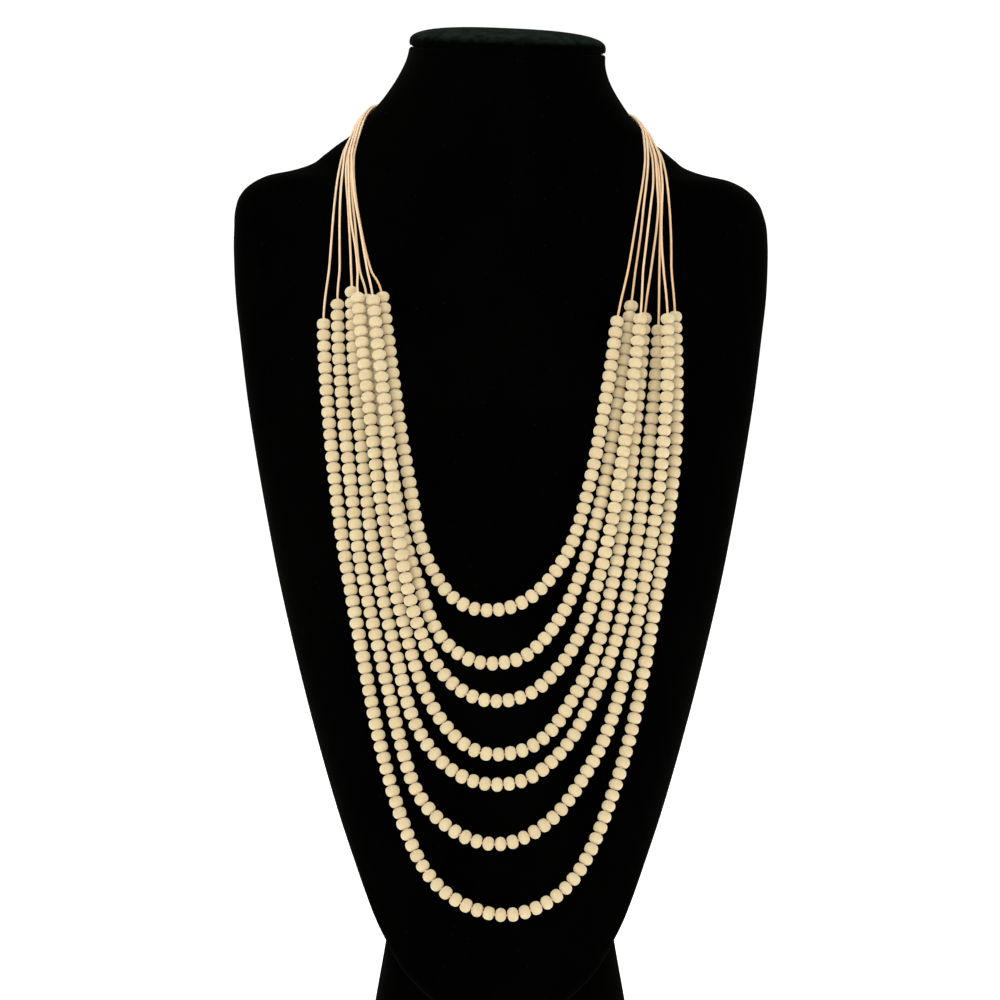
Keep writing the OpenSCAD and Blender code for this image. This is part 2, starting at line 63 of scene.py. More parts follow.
# Bust sections from the lip's tip to the neck's top: height as a share of the
# neck's height, half width as a share of half the shoulders, then front, side
# and back as shares of the depth, and the exponent of the round corners.
LIP = np.array([
    [0.045, 0.040, -0.490, -0.447, -0.400, 2.3],
    [0.057, 0.171, -0.493, -0.433, -0.367, 2.3],
    [0.074, 0.259, -0.493, -0.420, -0.347, 2.3],
    [0.094, 0.335, -0.491, -0.413, -0.333, 2.3],
    [0.129, 0.415, -0.487, -0.400, -0.320, 2.3],
    [0.148, 0.451, -0.483, -0.387, -0.313, 2.3],
    [0.169, 0.485, -0.477, -0.350, -0.313, 2.3]])
BODY = np.array([
    [0.170, 0.487, -0.477, -0.347, 0.240, 2.3],
    [0.200, 0.535, -0.467, -0.253, 0.247, 2.3],
    [0.235, 0.586, -0.450, -0.173, 0.257, 2.3],
    [0.294, 0.655, -0.423, -0.120, 0.273, 2.3],
    [0.353, 0.716, -0.390, -0.087, 0.290, 2.3],
    [0.412, 0.772, -0.353, -0.053, 0.310, 2.3],
    [0.471, 0.824, -0.313, -0.013, 0.333, 2.3],
    [0.530, 0.869, -0.270, 0.027, 0.357, 2.3],
    [0.590, 0.911, -0.220, 0.067, 0.383, 2.3],
    [0.650, 0.948, -0.170, 0.107, 0.410, 2.3],
    [0.710, 0.978, -0.117, 0.153, 0.437, 2.3],
    [0.750, 0.996, -0.082, 0.180, 0.453, 2.3],
    [0.780, 1.003, -0.057, 0.200, 0.467, 2.3],
    [0.811, 1.004, -0.033, 0.213, 0.477, 2.3],
    [0.836, 0.995, -0.013, 0.227, 0.487, 2.3],
    [0.851, 0.973, -0.003, 0.233, 0.493, 2.3],
    [0.861, 0.939, 0.003, 0.240, 0.497, 2.3],
    [0.867, 0.903, 0.007, 0.240, 0.500, 2.25],
    [0.872, 0.856, 0.010, 0.240, 0.500, 2.2],
    [0.876, 0.784, 0.013, 0.240, 0.503, 2.2],
    [0.882, 0.713, 0.017, 0.240, 0.503, 2.15],
    [0.892, 0.659, 0.020, 0.240, 0.507, 2.1],
    [0.902, 0.613, 0.020, 0.240, 0.507, 2.05],
    [0.912, 0.563, 0.017, 0.240, 0.510, 2.0],
    [0.922, 0.533, 0.010, 0.240, 0.513, 2.0],
    [0.937, 0.484, -0.003, 0.240, 0.513, 2.0],
    [0.953, 0.439, -0.017, 0.240, 0.513, 2.0],
    [0.973, 0.395, -0.027, 0.240, 0.513, 2.0],
    [0.988, 0.374, -0.030, 0.240, 0.513, 2.0],
    [1.000, 0.368, -0.033, 0.240, 0.513, 2.0]])
SECTIONS = np.concatenate([LIP, BODY])
# How much of the neck's lean a height takes, and its shift to the right as a
# share of the shoulders' width.
LEAN = np.array([[0.75, 0.0], [0.835, 0.38], [0.86, 0.27], [0.95, 0.415], [1.0, 1.0]])
SHIFT = np.array([
    [0.3, 0.0], [0.6, 0.0011], [0.75, 0.002], [0.82, 0.0013], [0.86, -0.0029],
    [0.892, -0.002], [0.937, 0.002], [0.973, 0.0078], [1.0, 0.0141]])
# Foot from floor to top: height, width, front and back as shares.
FOOT = np.array([
    [0.00, 1.000, -0.447, 0.553],
    [0.24, 0.950, -0.426, 0.470],
    [0.60, 0.870, -0.394, 0.372],
    [1.00, 0.790, -0.372, 0.298]])

# Heights of the chosen points of every bare stretch, from the shoulder down.
BARE_H = np.array([370.5, 364, 358, 350, 341, 332, 322.5])
# Routes of the seven strings, innermost first: bare cord down the left, beads
# from left to right, bare cord up the right. A bead row's point is x from the
# middle of the section and height in millimetres, and lift off the chest in
# bead diameters. A bare stretch's point is x and lift, at the heights above.
ROUTES = [
    [[[-60.09, 0.02], [-60.21, 0.12], [-59.69, 0.1], [-59, 0.03], [-57.9, 0.04], [-56.1, 0.12],
      [-53.4, 0.27]],
     [[-49.2, 314, 0], [-45.9, 292, 0], [-42, 265, 0], [-37.4, 239, 0], [-33.2, 217, 0],
      [-27.7, 203, 0], [-20.1, 192.5, 0], [-11.1, 187.5, 0], [-2.1, 187, 0], [6.9, 189, 0],
      [14.9, 194, 0], [21.8, 201.5, 0], [28.3, 211.5, 0], [33.3, 225.5, 0.1], [37.8, 244, 0.35],
      [42.2, 267, 0.48], [45.3, 286, 0.5], [47.9, 304.5, 0.6]],
     [[52.1, 0.61], [53.9, 0.41], [55.6, 0.25], [57.7, 0.1], [59.4, 0.13], [60.3, 0.1],
      [60.7, 0.09]]],
    [[[-61.16, 0.02], [-61.31, 0.12], [-60.93, 0.13], [-60.6, 0.03], [-60, 0.04], [-59.3, 0.12],
      [-58.1, 0.27]],
     [[-55.4, 313, 0], [-52.6, 292, 0], [-48.8, 265, 0], [-43.8, 239, 0], [-39.8, 218, 0],
      [-34.2, 200.5, 0], [-27.1, 181, 0], [-20.1, 172, 0], [-10.1, 166.5, 0], [-0.1, 166, 0],
      [9.9, 168.5, 0], [17.9, 175.5, 0], [24.9, 185, 0], [31.4, 198, 0], [36.8, 214, 0],
      [41.8, 234, 0], [46.2, 259, 0], [50.1, 284, 0], [53.7, 310.5, 0]],
     [[55.3, 0.28], [56.8, 0.19], [58.2, 0.17], [59.7, 0.2], [61, 0.24], [61.7, 0.25],
      [61.9, 0.25]]],
    [[[-61.12, 0.43], [-60.83, 0.36], [-60.21, 0.34], [-59.4, 0.3], [-58.1, 0.49], [-56.6, 0.74],
      [-54.8, 1.03]],
     [[-52.7, 313, 0.95], [-50.2, 292, 1], [-46.8, 265, 1.05], [-43.7, 237, 1.05],
      [-40.7, 213, 1], [-36.1, 190, 0.75], [-32.1, 178, 0.44], [-28.1, 169, 0.15],
      [-21.6, 160, 0], [-13.1, 153.5, 0], [-4.1, 151, 0], [4.9, 151.5, 0], [13.4, 154.5, 0],
      [21.4, 161.5, 0], [27.9, 169.5, 0], [34.4, 182, 0], [39.8, 199, 0.1], [44.2, 217, 0.42],
      [47.7, 235, 0.62], [50.7, 255, 0.8], [54.2, 280, 0.95], [57.2, 305.5, 1]],
     [[58.4, 0.94], [59.6, 0.67], [60.9, 0.44], [62.6, 0.25], [63.9, 0.19], [64.1, 0.14],
      [63.53, 0.08]]],
    [[[-62.25, 0.39], [-62.31, 0.3], [-61.96, 0.27], [-61.8, 0.25], [-61.4, 0.45], [-59.9, 0.69],
      [-58.9, 0.97]],
     [[-58.8, 314, 0.95], [-56.6, 292, 0.85], [-53.3, 265, 0.82], [-49.8, 237, 0.45],
      [-45.7, 213, 0.22], [-41.6, 191, 0.34], [-38.1, 178, 0.1], [-33.6, 162, 0], [-27, 148, 0],
      [-18, 136.5, 0], [-8, 130.5, 0], [2, 130, 0], [12, 132.5, 0], [21, 139.5, 0],
      [28.9, 151, 0], [35.9, 163.5, 0], [41.4, 179, 0], [46.8, 203, 0], [51.3, 227, 0],
      [54.2, 252, 0], [56.9, 277, 0], [59.2, 305.5, 0]],
     [[61.7, 0.25], [63.1, 0.19], [64.5, 0.17], [65.78, 0.2], [65.71, 0.27], [65.48, 0.25],
      [64.79, 0.3]]],
    [[[-62.7, 0.06], [-63.31, 0.17], [-63, 0.13], [-62.6, 0.03], [-62.5, 0.04], [-62.1, 0.12],
      [-61.7, 0.27]],
     [[-61.4, 316, 0], [-60.7, 292, 0], [-58.2, 265, 0], [-55.2, 237, 0], [-51.7, 211, 0],
      [-46.6, 187, 0], [-41.1, 165, 0], [-36, 145.5, 0], [-28, 131.5, 0], [-18, 122.5, 0],
      [-8, 118.5, 0], [2, 118, 0], [12, 120.5, 0], [21, 127, 0], [29, 136, 0], [36.4, 149.5, 0],
      [43.4, 164.5, 0], [49.9, 185, 0], [54.8, 210, 0], [58.3, 233, 0], [61.2, 257, 0],
      [63.5, 280, 0], [64.7, 300.5, 0]],
     [[65.3, 0.15], [65.6, 0.06], [66.1, 0.01], [66.68, 0.02], [66.74, 0.19], [66.39, 0.17],
      [65.23, 0.06]]],
    [[[-63.86, 0.35], [-64.6, 0.25], [-65, 0.24], [-65.7, 0.2], [-66.4, 0.17], [-66.5, 0.19],
      [-66.5, 0.25]],
     [[-67.3, 311, 0], [-66.5, 288, 0], [-64.1, 262, 0], [-61, 235, 0], [-57.8, 210, 0],
      [-52.6, 185, 0], [-46.6, 160, 0], [-40.5, 135, 0], [-35, 117.5, 0], [-28, 107, 0],
      [-18, 99, 0], [-8, 95, 0], [2.5, 94.5, 0], [13, 98.5, 0], [23, 106, 0], [31.5, 117, 0],
      [42, 135, 0], [49.9, 158, 0], [55.9, 183, 0], [60.8, 210, 0], [64.5, 233, 0.5],
      [66.7, 257, 0.9], [68.2, 280, 1.05], [68.2, 305.5, 1.15]],
     [[67, 1.03], [66.4, 0.74], [66.4, 0.49], [67.23, 0.31], [67.86, 0.29], [67.54, 0.26],
      [66.62, 0.34]]],
    [[[-64.6, 0.08], [-66.02, 0.19], [-66.81, 0.15], [-68, 0.03], [-69.3, 0.01], [-70.1, 0.08],
      [-70.9, 0.19]],
     [[-73, 303, 0], [-71.6, 276, 0], [-68.8, 247, 0], [-64.9, 217, 0], [-60.1, 190, 0],
      [-54.6, 162, 0], [-49, 135, 0], [-42, 110, 0], [-34, 90, 0], [-25, 77.5, 0], [-13, 69.5, 0],
      [1.5, 66, 0], [15, 69, 0], [27, 77, 0], [36, 90, 0], [44.5, 110, 0], [52.5, 135, 0],
      [58.4, 162, 0], [63.4, 190, 0], [67.8, 217, 0], [71.3, 247, 0], [72.2, 276, 0],
      [71.5, 306, 0]],
     [[70.4, 0.19], [70.4, 0.08], [70.4, 0.01], [70.4, 0.03], [69.93, 0.22], [69.21, 0.18],
      [67.41, 0.11]]]]
# Way of the cords round the neck at left and at right, nape first: degrees from
# the chest, height and height above the neck's surface in millimetres, and how
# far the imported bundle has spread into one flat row.
NECK_WAY = np.array([
    [[160, 390, 1.2, 0], [140, 388.8, 0.4, 0.05], [120, 387.7, 0.1, 0.1],
     [104, 386.6, 0.05, 0.15], [93, 385.2, 0.05, 0.22], [83, 382.7, 0.1, 0.3],
     [74, 378.6, 0.25, 0.25]],
    [[160, 389, 1.2, 0], [140, 387.8, 0.4, 0.1], [120, 386.2, 0.12, 0.2],
     [104, 384.4, 0.05, 0.32], [94, 382.8, 0.05, 0.45], [86, 380.6, 0.15, 0.52],
     [78, 377.2, 0.35, 0.42]]])
# Place of each string's cord in the bundle at left and right: lane outward from
# the middle, layer 0 on the neck or 1 on the cords below, and lane in the flat
# row.
LANES = [
    [[-1.5, 0, -3], [-1.5, 0, -3]], [[-0.5, 0, -1], [-1, 1, -2]], [[-1, 1, -2], [-0.5, 0, -1]],
    [[0, 1, 0], [0, 1, 0]], [[0.5, 0, 1], [0.5, 0, 1]], [[1, 1, 2], [1, 1, 2]],
    [[1.5, 0, 3], [1.5, 0, 3]]]
# A bead from its bore to the soft edge: radius and axial place as shares, how
# much more of each a boxy bead has, and how much painted warm shade it gets where beads meet.
BEAD = np.array([
    [0.250, 0.945, 0.000, 0.000, 1.00],
    [0.430, 0.972, 0.070, 0.010, 0.62],
    [0.670, 0.815, 0.075, 0.030, 0.16],
    [0.897, 0.500, 0.033, 0.030, 0.00]])
# Barrel of the clasp from its lip to the groove in the middle: shares of half
# its length and of its radius.
BARREL = np.array([
    [0.60, 1.000], [0.585, 0.962], [0.560, 0.950], [0.30, 0.935], [0.16, 0.945],
    [0.135, 0.985], [0.10, 1.000], [0.035, 1.000], [0.02, 0.960], [0.0, 0.950]])
# How brown each cord grows towards its beads, at left and at right.
STAINS = [(0.85, 0.95), (0.25, 0.85), (0.15, 0.45), (0.40, 0.75), (0.15, 0.85),
          (0.10, 0.70), (0.10, 0.85)]


class Side(Enum):
    """The side that a stretch of cord lies on, as seen from in front."""

    LEFT = -1
    RIGHT = 1


class Ends(Enum):
    """How a run of rings is closed."""

    FANS = "a fan of triangles at each end"
    RING = "the last ring joins the first"


# Arrays


def unit(v: Array) -> Array:
    """Each vector divided by its own length."""
    return v / np.linalg.norm(v, axis=-1, keepdims=True)


def smooth(points: Array, steps: int) -> Array:
    """Curve through all the points, with steps stretches from each to the next.

    Catmull-Rom: between b and c the curve is b + s/2 ((c - a) + s ((2a - 5b +
    4c - d) + s (3b - a - 3c + d))), where a and d are the outer neighbours.

    Args:
        points: the points, one to a row.
        steps: number of stretches between two points.

    Returns:
        The curve's points, one to a row.
    """
    n = len(points)
    i = np.arange(n - 1)
    a, b = points[np.maximum(i - 1, 0)][:, None], points[i][:, None]
    c, d = points[i + 1][:, None], points[np.minimum(i + 2, n - 1)][:, None]
    s = (np.arange(steps) / steps)[None, :, None]
    run = b + 0.5 * s * ((c - a) + s * ((2 * a - 5 * b + 4 * c - d)
                                        + s * (3 * b - a - 3 * c + d)))
    return np.concatenate([run.reshape(-1, points.shape[1]), points[-1:]])


def hermite(at: Array, keys: Array, values: Array) -> Array:
    """Smooth curve through a table's column.

    A cubic between each two keys takes their values and the slopes of the
    parabola through each key and its neighbours.

    Args:
        at: where to read the curve.
        keys: rising keys.
        values: the value at each key.

    Returns:
        The curve's value at each place.
    """
    slope = np.gradient(values, keys)
    i = np.clip(np.searchsorted(keys, at, side="right") - 1, 0, len(keys) - 2)
    w = keys[i + 1] - keys[i]
    s = np.clip((at - keys[i]) / w, 0, 1)
    return ((1 + 2 * s) * (1 - s) ** 2 * values[i] + s * (1 - s) ** 2 * w * slope[i]
            + s * s * (3 - 2 * s) * values[i + 1] + s * s * (s - 1) * w * slope[i + 1])


def running_length(curve: Array, loss: float = 0.0) -> Array:
    """Length along a curve, less loss times the angle turned at each corner.

    Args:
        curve: points, one to a row.
        loss: metres lost for each radian turned.

    Returns:
        The length up to each point.
    """
    step = np.diff(curve, axis=0)
    way = unit(step)
    turned = np.arccos(np.clip((way[1:] * way[:-1]).sum(1), -1, 1))
    gain = np.linalg.norm(step, axis=1) - loss * np.concatenate([[0.0], turned])
    return np.concatenate([[0.0], np.cumsum(gain)])


def respaced(curve: Array, count: int, loss: float = 0.0) -> Array:
    """The curve read at count equal steps of its running length."""
    s = running_length(curve, loss)
    at = np.linspace(0, s[-1], count + 1)
    return np.stack([np.interp(at, s, curve[:, k]) for k in range(3)], axis=1)


def full_turn(sides: int) -> Array:
    """Angles in equal steps round a circle, as one row."""
    return np.linspace(0, 2 * math.pi, sides, endpoint=False)[None, :]


def places(x: Array, y: Array, z: Array) -> Array:
    """Points from their x, y and z, each spread to the shape of all three."""
    return np.stack(np.broadcast_arrays(x, y, z), axis=-1)


def around(centre: Array, r: Array, t: Array, u: Array, w: Array) -> Array:
    """Points round centres: centre + r cos t u + r sin t w."""
    return centre + (r * np.cos(t))[..., None] * u + (r * np.sin(t))[..., None] * w


def bulged(v: Array, power: Array | float) -> Array:
    """v to the power 2/n with its sign kept, as on a superellipse."""
    return np.sign(v) * np.abs(v) ** (2 / power)


def drawn_in(q: Array, radius: float) -> Array:
    """How far a rounded edge lies in at share q of it: radius (1 - root(1 - q^2))."""
    return radius * (1 - np.sqrt(1 - q * q))


# Shells


@dataclass
class Shell:
    """A mesh as whole arrays.

    Attributes:
        verts: places of the vertices, one to a row.
        corners: vertex number at each corner of each face in turn.
        sizes: number of corners of each face.
        uv: pattern place of each corner.
        marks: named values, one for each vertex.
    """

    verts: Array
    corners: Array
    sizes: Array
    uv: Array
    marks: dict[str, Array] = field(default_factory=dict)

    def volume(self) -> float:
        """Six times the enclosed volume, from the fan of each face: a . (b x c)."""
        first = np.repeat(np.cumsum(self.sizes) - self.sizes, self.sizes - 2)
        rank = np.concatenate([[0], np.cumsum(self.sizes - 2)])[:-1]
        k = np.arange(len(first)) - np.repeat(rank, self.sizes - 2)
        a, b, c = (self.verts[self.corners[first + q]] for q in (0 * k, k + 1, k + 2))
        return float((a * np.cross(b, c)).sum())

    def outward(self) -> "Shell":
        """The same shell with its faces turned to point outwards."""
        if self.volume() < 0:
            start = np.repeat(np.cumsum(self.sizes) - self.sizes, self.sizes)
            rank = np.arange(len(self.corners)) - start
            turned = start + np.repeat(self.sizes, self.sizes) - 1 - rank
            self.corners, self.uv = self.corners[turned], self.uv[turned]
        return self

    def to_object(self, name: str, crease_deg: float) -> bpy.types.Object:
        """Puts the shell into a new mesh object at the origin.

        Args:
            name: the piece's name.
            crease_deg: edges that bend more than this stay sharp.

        Returns:
            The new object, in the scene.
        """
        mesh = bpy.data.meshes.new(name)
        mesh.vertices.add(len(self.verts))
        mesh.vertices.foreach_set("co", self.verts.astype(np.float32).ravel())
        mesh.loops.add(len(self.corners))
        mesh.loops.foreach_set("vertex_index", self.corners.astype(np.int32))
        mesh.polygons.add(len(self.sizes))
        starts = np.cumsum(self.sizes) - self.sizes
        mesh.polygons.foreach_set("loop_start", starts.astype(np.int32))
        layer = mesh.uv_layers.new(name="pattern")
        layer.data.foreach_set("uv", self.uv.astype(np.float32).ravel())
        for mark, values in self.marks.items():
            layer = mesh.attributes.new(mark, "FLOAT", "POINT")
            layer.data.foreach_set("value", values.astype(np.float32))
        mesh.update(calc_edges=True)
        mesh.validate()
        mesh.shade_smooth()
        mesh.set_sharp_from_angle(angle=math.radians(crease_deg))
        piece = bpy.data.objects.new(name, mesh)
        bpy.context.scene.collection.objects.link(piece)
        return piece


def ring_shell(rings: Array, across: Array, along: Array, ends: Ends) -> Shell:
    """Skin over runs of rings, each ring's first and last points joined.

    Vertex (n, r, s) is point s of ring r of run n. A face joins s to s + 1 on
    rings r and r + 1.

    Args:
        rings: places, as runs x rings x points x 3.
        across: pattern place of each point round a ring, with one more for
            the way back to the first.
        along: pattern place of each ring, as runs x rings.
        ends: how each run is closed.

    Returns:
        The shell, facing outwards.
    """
    runs, rows, cols, _ = rings.shape
    grid = np.arange(runs * rows * cols).reshape(runs, rows, cols)
    wide = np.concatenate([grid, grid[:, :, :1]], axis=2)
    high = np.broadcast_to(along[:, :, None], (runs, rows, cols + 1))
    if ends is Ends.RING:
        wide = np.concatenate([wide, wide[:, :1]], axis=1)
        high = np.concatenate([high, 2 * high[:, -1:] - high[:, -2:-1]], axis=1)
    flat = np.broadcast_to(across[None, None, :], wide.shape)

    def quads(a: Array) -> Array:
        """Values of a at the four corners of each face."""
        return np.stack([a[:, :-1, :-1], a[:, :-1, 1:], a[:, 1:, 1:], a[:, 1:, :-1]],
                        axis=-1).reshape(-1)

    verts = rings.reshape(-1, 3)
    corners = quads(wide)
    uv = np.stack([quads(flat), quads(high)], axis=1)
    sizes = np.full(len(corners) // 4, 4)
    if ends is Ends.FANS:
        middle = np.stack([rings[:, 0].mean(1), rings[:, -1].mean(1)], axis=1)
        hub = len(verts) + np.arange(2 * runs).reshape(runs, 2)
        verts = np.concatenate([verts, middle.reshape(-1, 3)])
        for end, order in ((0, (1, 0)), (-1, (0, 1))):
            edge = wide[:, end]
            pair = (edge[:, :-1], edge[:, 1:])
            fan = np.stack([np.broadcast_to(hub[:, end, None], pair[0].shape),
                            pair[order[0]], pair[order[1]]], axis=-1).reshape(-1)
            place = (across[:-1], across[1:])
            u = np.stack([(across[:-1] + across[1:]) / 2, place[order[0]],
                          place[order[1]]], axis=-1).reshape(-1)
            v = np.repeat(along[:, end], 3 * cols)
            corners = np.concatenate([corners, fan])
            uv = np.concatenate([uv, np.stack([np.tile(u, runs), v], axis=1)])
            sizes = np.concatenate([sizes, np.full(len(fan) // 3, 3)])
    return Shell(verts, corners, sizes, uv).outward()


def tube_shell(rings: Array, along: Array) -> Shell:
    """Skin over one run of rings, rings x points x 3, with a fan at each end."""
    across = np.linspace(0, 1, rings.shape[1] + 1)
    return ring_shell(rings[None], across, along[None], Ends.FANS)


# Shader nodes


class Signal:
    """One output socket, on which Python's operators add Math nodes."""

    def __init__(self, graph: "Graph", socket: bpy.types.NodeSocket) -> None:
        """Keeps the graph and the socket."""
        self.graph = graph
        self.socket = socket

    def _math(self, operation: str, first: Any, second: Any) -> "Signal":
        """A Math node of two values."""
        return self.graph.add("ShaderNodeMath", {"operation": operation},
                              {0: first, 1: second})

    def __add__(self, other: Any) -> "Signal":
        """This value plus another."""
        return self._math("ADD", self, other)

    __radd__ = __add__

    def __sub__(self, other: Any) -> "Signal":
        """This value less another."""
        return self._math("SUBTRACT", self, other)

    def __rsub__(self, other: Any) -> "Signal":
        """Another value less this one."""
        return self._math("SUBTRACT", other, self)

    def __mul__(self, other: Any) -> "Signal":
        """This value times another."""
        return self._math("MULTIPLY", self, other)

    __rmul__ = __mul__

    def __pow__(self, other: Any) -> "Signal":
        """This value to a power."""
        return self._math("POWER", self, other)


class Graph:
    """Node graph of a material or of the surround."""

    def __init__(self, tree: bpy.types.NodeTree, output: str) -> None:
        """Empties the tree and gives it an output node of the named type."""
        self.tree = tree
        tree.nodes.clear()
        self.output = tree.nodes.new(output)

    def end(self, shader: Signal) -> None:
        """Links the last shader to the output node."""
        self.tree.links.new(shader.socket, self.output.inputs[0])

    def _feed(self, socket: bpy.types.NodeSocket, value: Any) -> None:
        """Links a signal to a socket or sets a plain value on it."""
        if isinstance(value, Signal):
            self.tree.links.new(value.socket, socket)
        else:
            socket.default_value = value

    def add(self, kind: str, settings: dict[str, Any], sockets: dict[Any, Any],
            output: Any = 0) -> Signal:
        """Adds one node.

        Args:
            kind: the node's type.
            settings: its settings, set first; stops is a ramp's list of place
                and colour.
            sockets: values or signals of its input sockets.
            output: which output to give back.

        Returns:
            The output as a signal.
        """
        node = self.tree.nodes.new(kind)
        for key, value in settings.items():
            if key == "stops":
                band = node.color_ramp.elements
                while len(band) < len(value):
                    band.new(0.5)
                for stop, (place, colour) in zip(band, value):
                    stop.position, stop.color = place, colour
            else:
                setattr(node, key, value)
        for key, value in sockets.items():
            self._feed(node.inputs[key], value)
        return Signal(self, node.outputs[output])

    def place(self, scale: Point = (1.0, 1.0, 1.0), source: str = "Object") -> Signal:
        """Object or UV coordinates, scaled."""
        spot = self.add("ShaderNodeTexCoord", {}, {}, source)
        return self.add("ShaderNodeMapping", {}, {"Vector": spot, "Scale": scale})

    def noise(self, spot: Signal, scale: float, detail: float = 2.0,
              rough: float = 0.5) -> Signal:
        """Soft noise from 0 to 1 at a scale in lumps to the unit."""
        return self.add("ShaderNodeTexNoise", {},
                        {"Vector": spot, "Scale": scale, "Detail": detail,
                         "Roughness": rough}, "Fac")

    def spread(self, value: Signal, low: float, high: float,
               to_low: float = 0.0, to_high: float = 1.0) -> Signal:
        """A value's range from low to high stretched to another, smoothly."""
        return self.add("ShaderNodeMapRange", {"interpolation_type": "SMOOTHSTEP"},
                        {"Value": value, "From Min": low, "From Max": high,
                         "To Min": to_low, "To Max": to_high})

    def mark(self, name: str) -> Signal:
        """A named value of the piece's own vertices."""
        return self.add("ShaderNodeAttribute", {"attribute_name": name}, {}, "Fac")

    def mix(self, share: Any, first: Any, second: Any) -> Signal:
        """Colour that goes from the first to the second as share goes 0 to 1."""
        return self.add("ShaderNodeMix", {"data_type": "RGBA"},
                        {0: share, 6: first, 7: second}, 2)

    def bump(self, height: Signal, strength: float, distance: float) -> Signal:
        """Normal of a surface pushed out by height times distance."""
        return self.add("ShaderNodeBump", {}, {"Strength": strength,
                                               "Distance": distance,
                                               "Height": height})


class Surface(Graph):
    """Node graph of one new material, round a Principled shader."""

    def __init__(self, name: str) -> None:
        """Makes the material and its empty graph."""
        self.material = bpy.data.materials.new(name)
        self.material.use_nodes = True
        super().__init__(self.material.node_tree, "ShaderNodeOutputMaterial")

    def principled(self, sockets: dict[str, Any]) -> bpy.types.Material:
        """Adds the shader, sets or links its sockets, and gives the material."""
        self.end(self.add("ShaderNodeBsdfPrincipled", {}, sockets))
        return self.material


# Finishes


@dataclass(frozen=True)
class VelvetFinish:
    """Short black pile that only lights up at a grazing angle."""

    name: str = "black_velvet"
    deep: Colour = (0.00015, 0.00026, 0.00013, 1.0)
    brushed: Colour = (0.00060, 0.00085, 0.00050, 1.0)
    # Paler colours: painted sheen on the neck cap's top, and random paler pile elsewhere.
    dim_pile_and_sheen: Colour = (0.0032, 0.0054, 0.0038, 1.0)
    pale_pile_and_sheen: Colour = (0.0086, 0.0116, 0.0098, 1.0)
    fluff: Colour = (0.20, 0.20, 0.18, 1.0)
    sheen: float = 0.012
    sheen_tint: Colour = (0.92, 1.0, 0.84, 1.0)

    def material(self) -> bpy.types.Material:
        """Fine tufts under wide brushed patches, where the pile lies over.

        Where a piece's own nap value rises, on the neck cap's top, a painted sheen makes the pile
        paler; random patches and clumps add some paler pile too.
        """
        g = Surface(self.name)
        spot = g.place()
        tufts = g.noise(spot, scale=2600.0, detail=3.0, rough=0.7)
        clumps = g.noise(spot, scale=520.0, detail=3.0, rough=0.6)
        patches = g.noise(g.place((1.0, 1.0, 0.55)), scale=22.0, detail=3.0, rough=0.55)
        worn = g.spread(patches, low=0.42, high=0.66)
        lint = g.spread(g.noise(spot, scale=900.0, detail=0.0), low=0.80, high=0.86)
        base = g.mix(worn * 0.6 + clumps * 0.3, self.deep, self.brushed)
        # Painted sheen: the nap mark lightens the cap's top, mixed with random paler pile.
        pile_and_top_sheen = g.mark("nap") + (patches - 0.5) * 0.9 + (clumps - 0.5) * 0.5
        pile_and_top_sheen = g.spread(pile_and_top_sheen, low=0.15, high=0.95)
        combed = g.spread(g.noise(spot, scale=230.0, rough=0.6), low=0.36, high=0.66)
        base = g.mix(pile_and_top_sheen, base, g.mix(combed, self.dim_pile_and_sheen, self.pale_pile_and_sheen))
        base = g.mix(lint * 0.012, base, self.fluff)
        return g.principled({
            "Base Color": base,
            "Roughness": 1.0 - worn * 0.12,
            "Specular IOR Level": 0.0,
            "Sheen Weight": self.sheen,
            "Sheen Roughness": 0.35,
            "Sheen Tint": self.sheen_tint,
            "Normal": g.bump(tufts * 0.5 + clumps * 0.5, strength=0.7, distance=0.0004),
        })


@dataclass(frozen=True)
class WoodFinish:
    """Pale wood turned smooth, with painted warm shade on the flat ends and round the bore, where
    beads meet.
    """

    name: str = "pale_wood"
    pale: Colour = (0.650, 0.560, 0.345, 1.0)
    warm: Colour = (0.575, 0.465, 0.265, 1.0)
    grain: Colour = (0.440, 0.310, 0.160, 1.0)
    # Painted warm shade for the crevices where beads meet.
    bore: Colour = (0.680, 0.400, 0.210, 1.0)
    sheen: float = 1.0
    sheen_tint: Colour = (1.0, 0.95, 0.84, 1.0)

    def material(self) -> bpy.types.Material:
        """Tone from bead to bead, long grain along the bore, and soft mottling."""
        g = Surface(self.name)
        spot = g.place()
        fibre = g.noise(g.place((1.0, 0.16, 1.0), "UV"), scale=2.6, detail=3.0, rough=0.6)
        mottle = g.noise(spot, scale=330.0)
        pores = g.noise(spot, scale=2100.0)
        tone = g.mark("tone")
        end = g.mark("end")
        base = g.mix(tone * 0.55 + mottle * 0.45, self.pale, self.warm)
        base = g.mix(g.spread(fibre, low=0.50, high=0.78) * 0.30, base, self.grain)
        base = g.mix(g.spread(pores, low=0.48, high=0.70) * 0.22, base, self.grain)
        # Painted warm shade: the end mark browns the flat ends and the bore, where beads meet.
        base = g.mix(end ** 1.5 * 0.85, base, self.bore)
        return g.principled({
            "Base Color": base,
            "Diffuse Roughness": 1.0,
            "Roughness": 0.42 + fibre * 0.14,
            "Specular IOR Level": 0.45,
            "Coat Weight": 0.04,
            "Coat Roughness": 0.35,
            "Sheen Weight": self.sheen,
            "Sheen Roughness": 0.25,
            "Sheen Tint": self.sheen_tint,
            "Subsurface Weight": 0.20,
            "Subsurface Radius": (1.0, 0.50, 0.25),
            "Subsurface Scale": 0.0012,
            "Normal": g.bump(fibre * 0.6 + pores * 0.4, strength=0.35, distance=0.00012),
        })


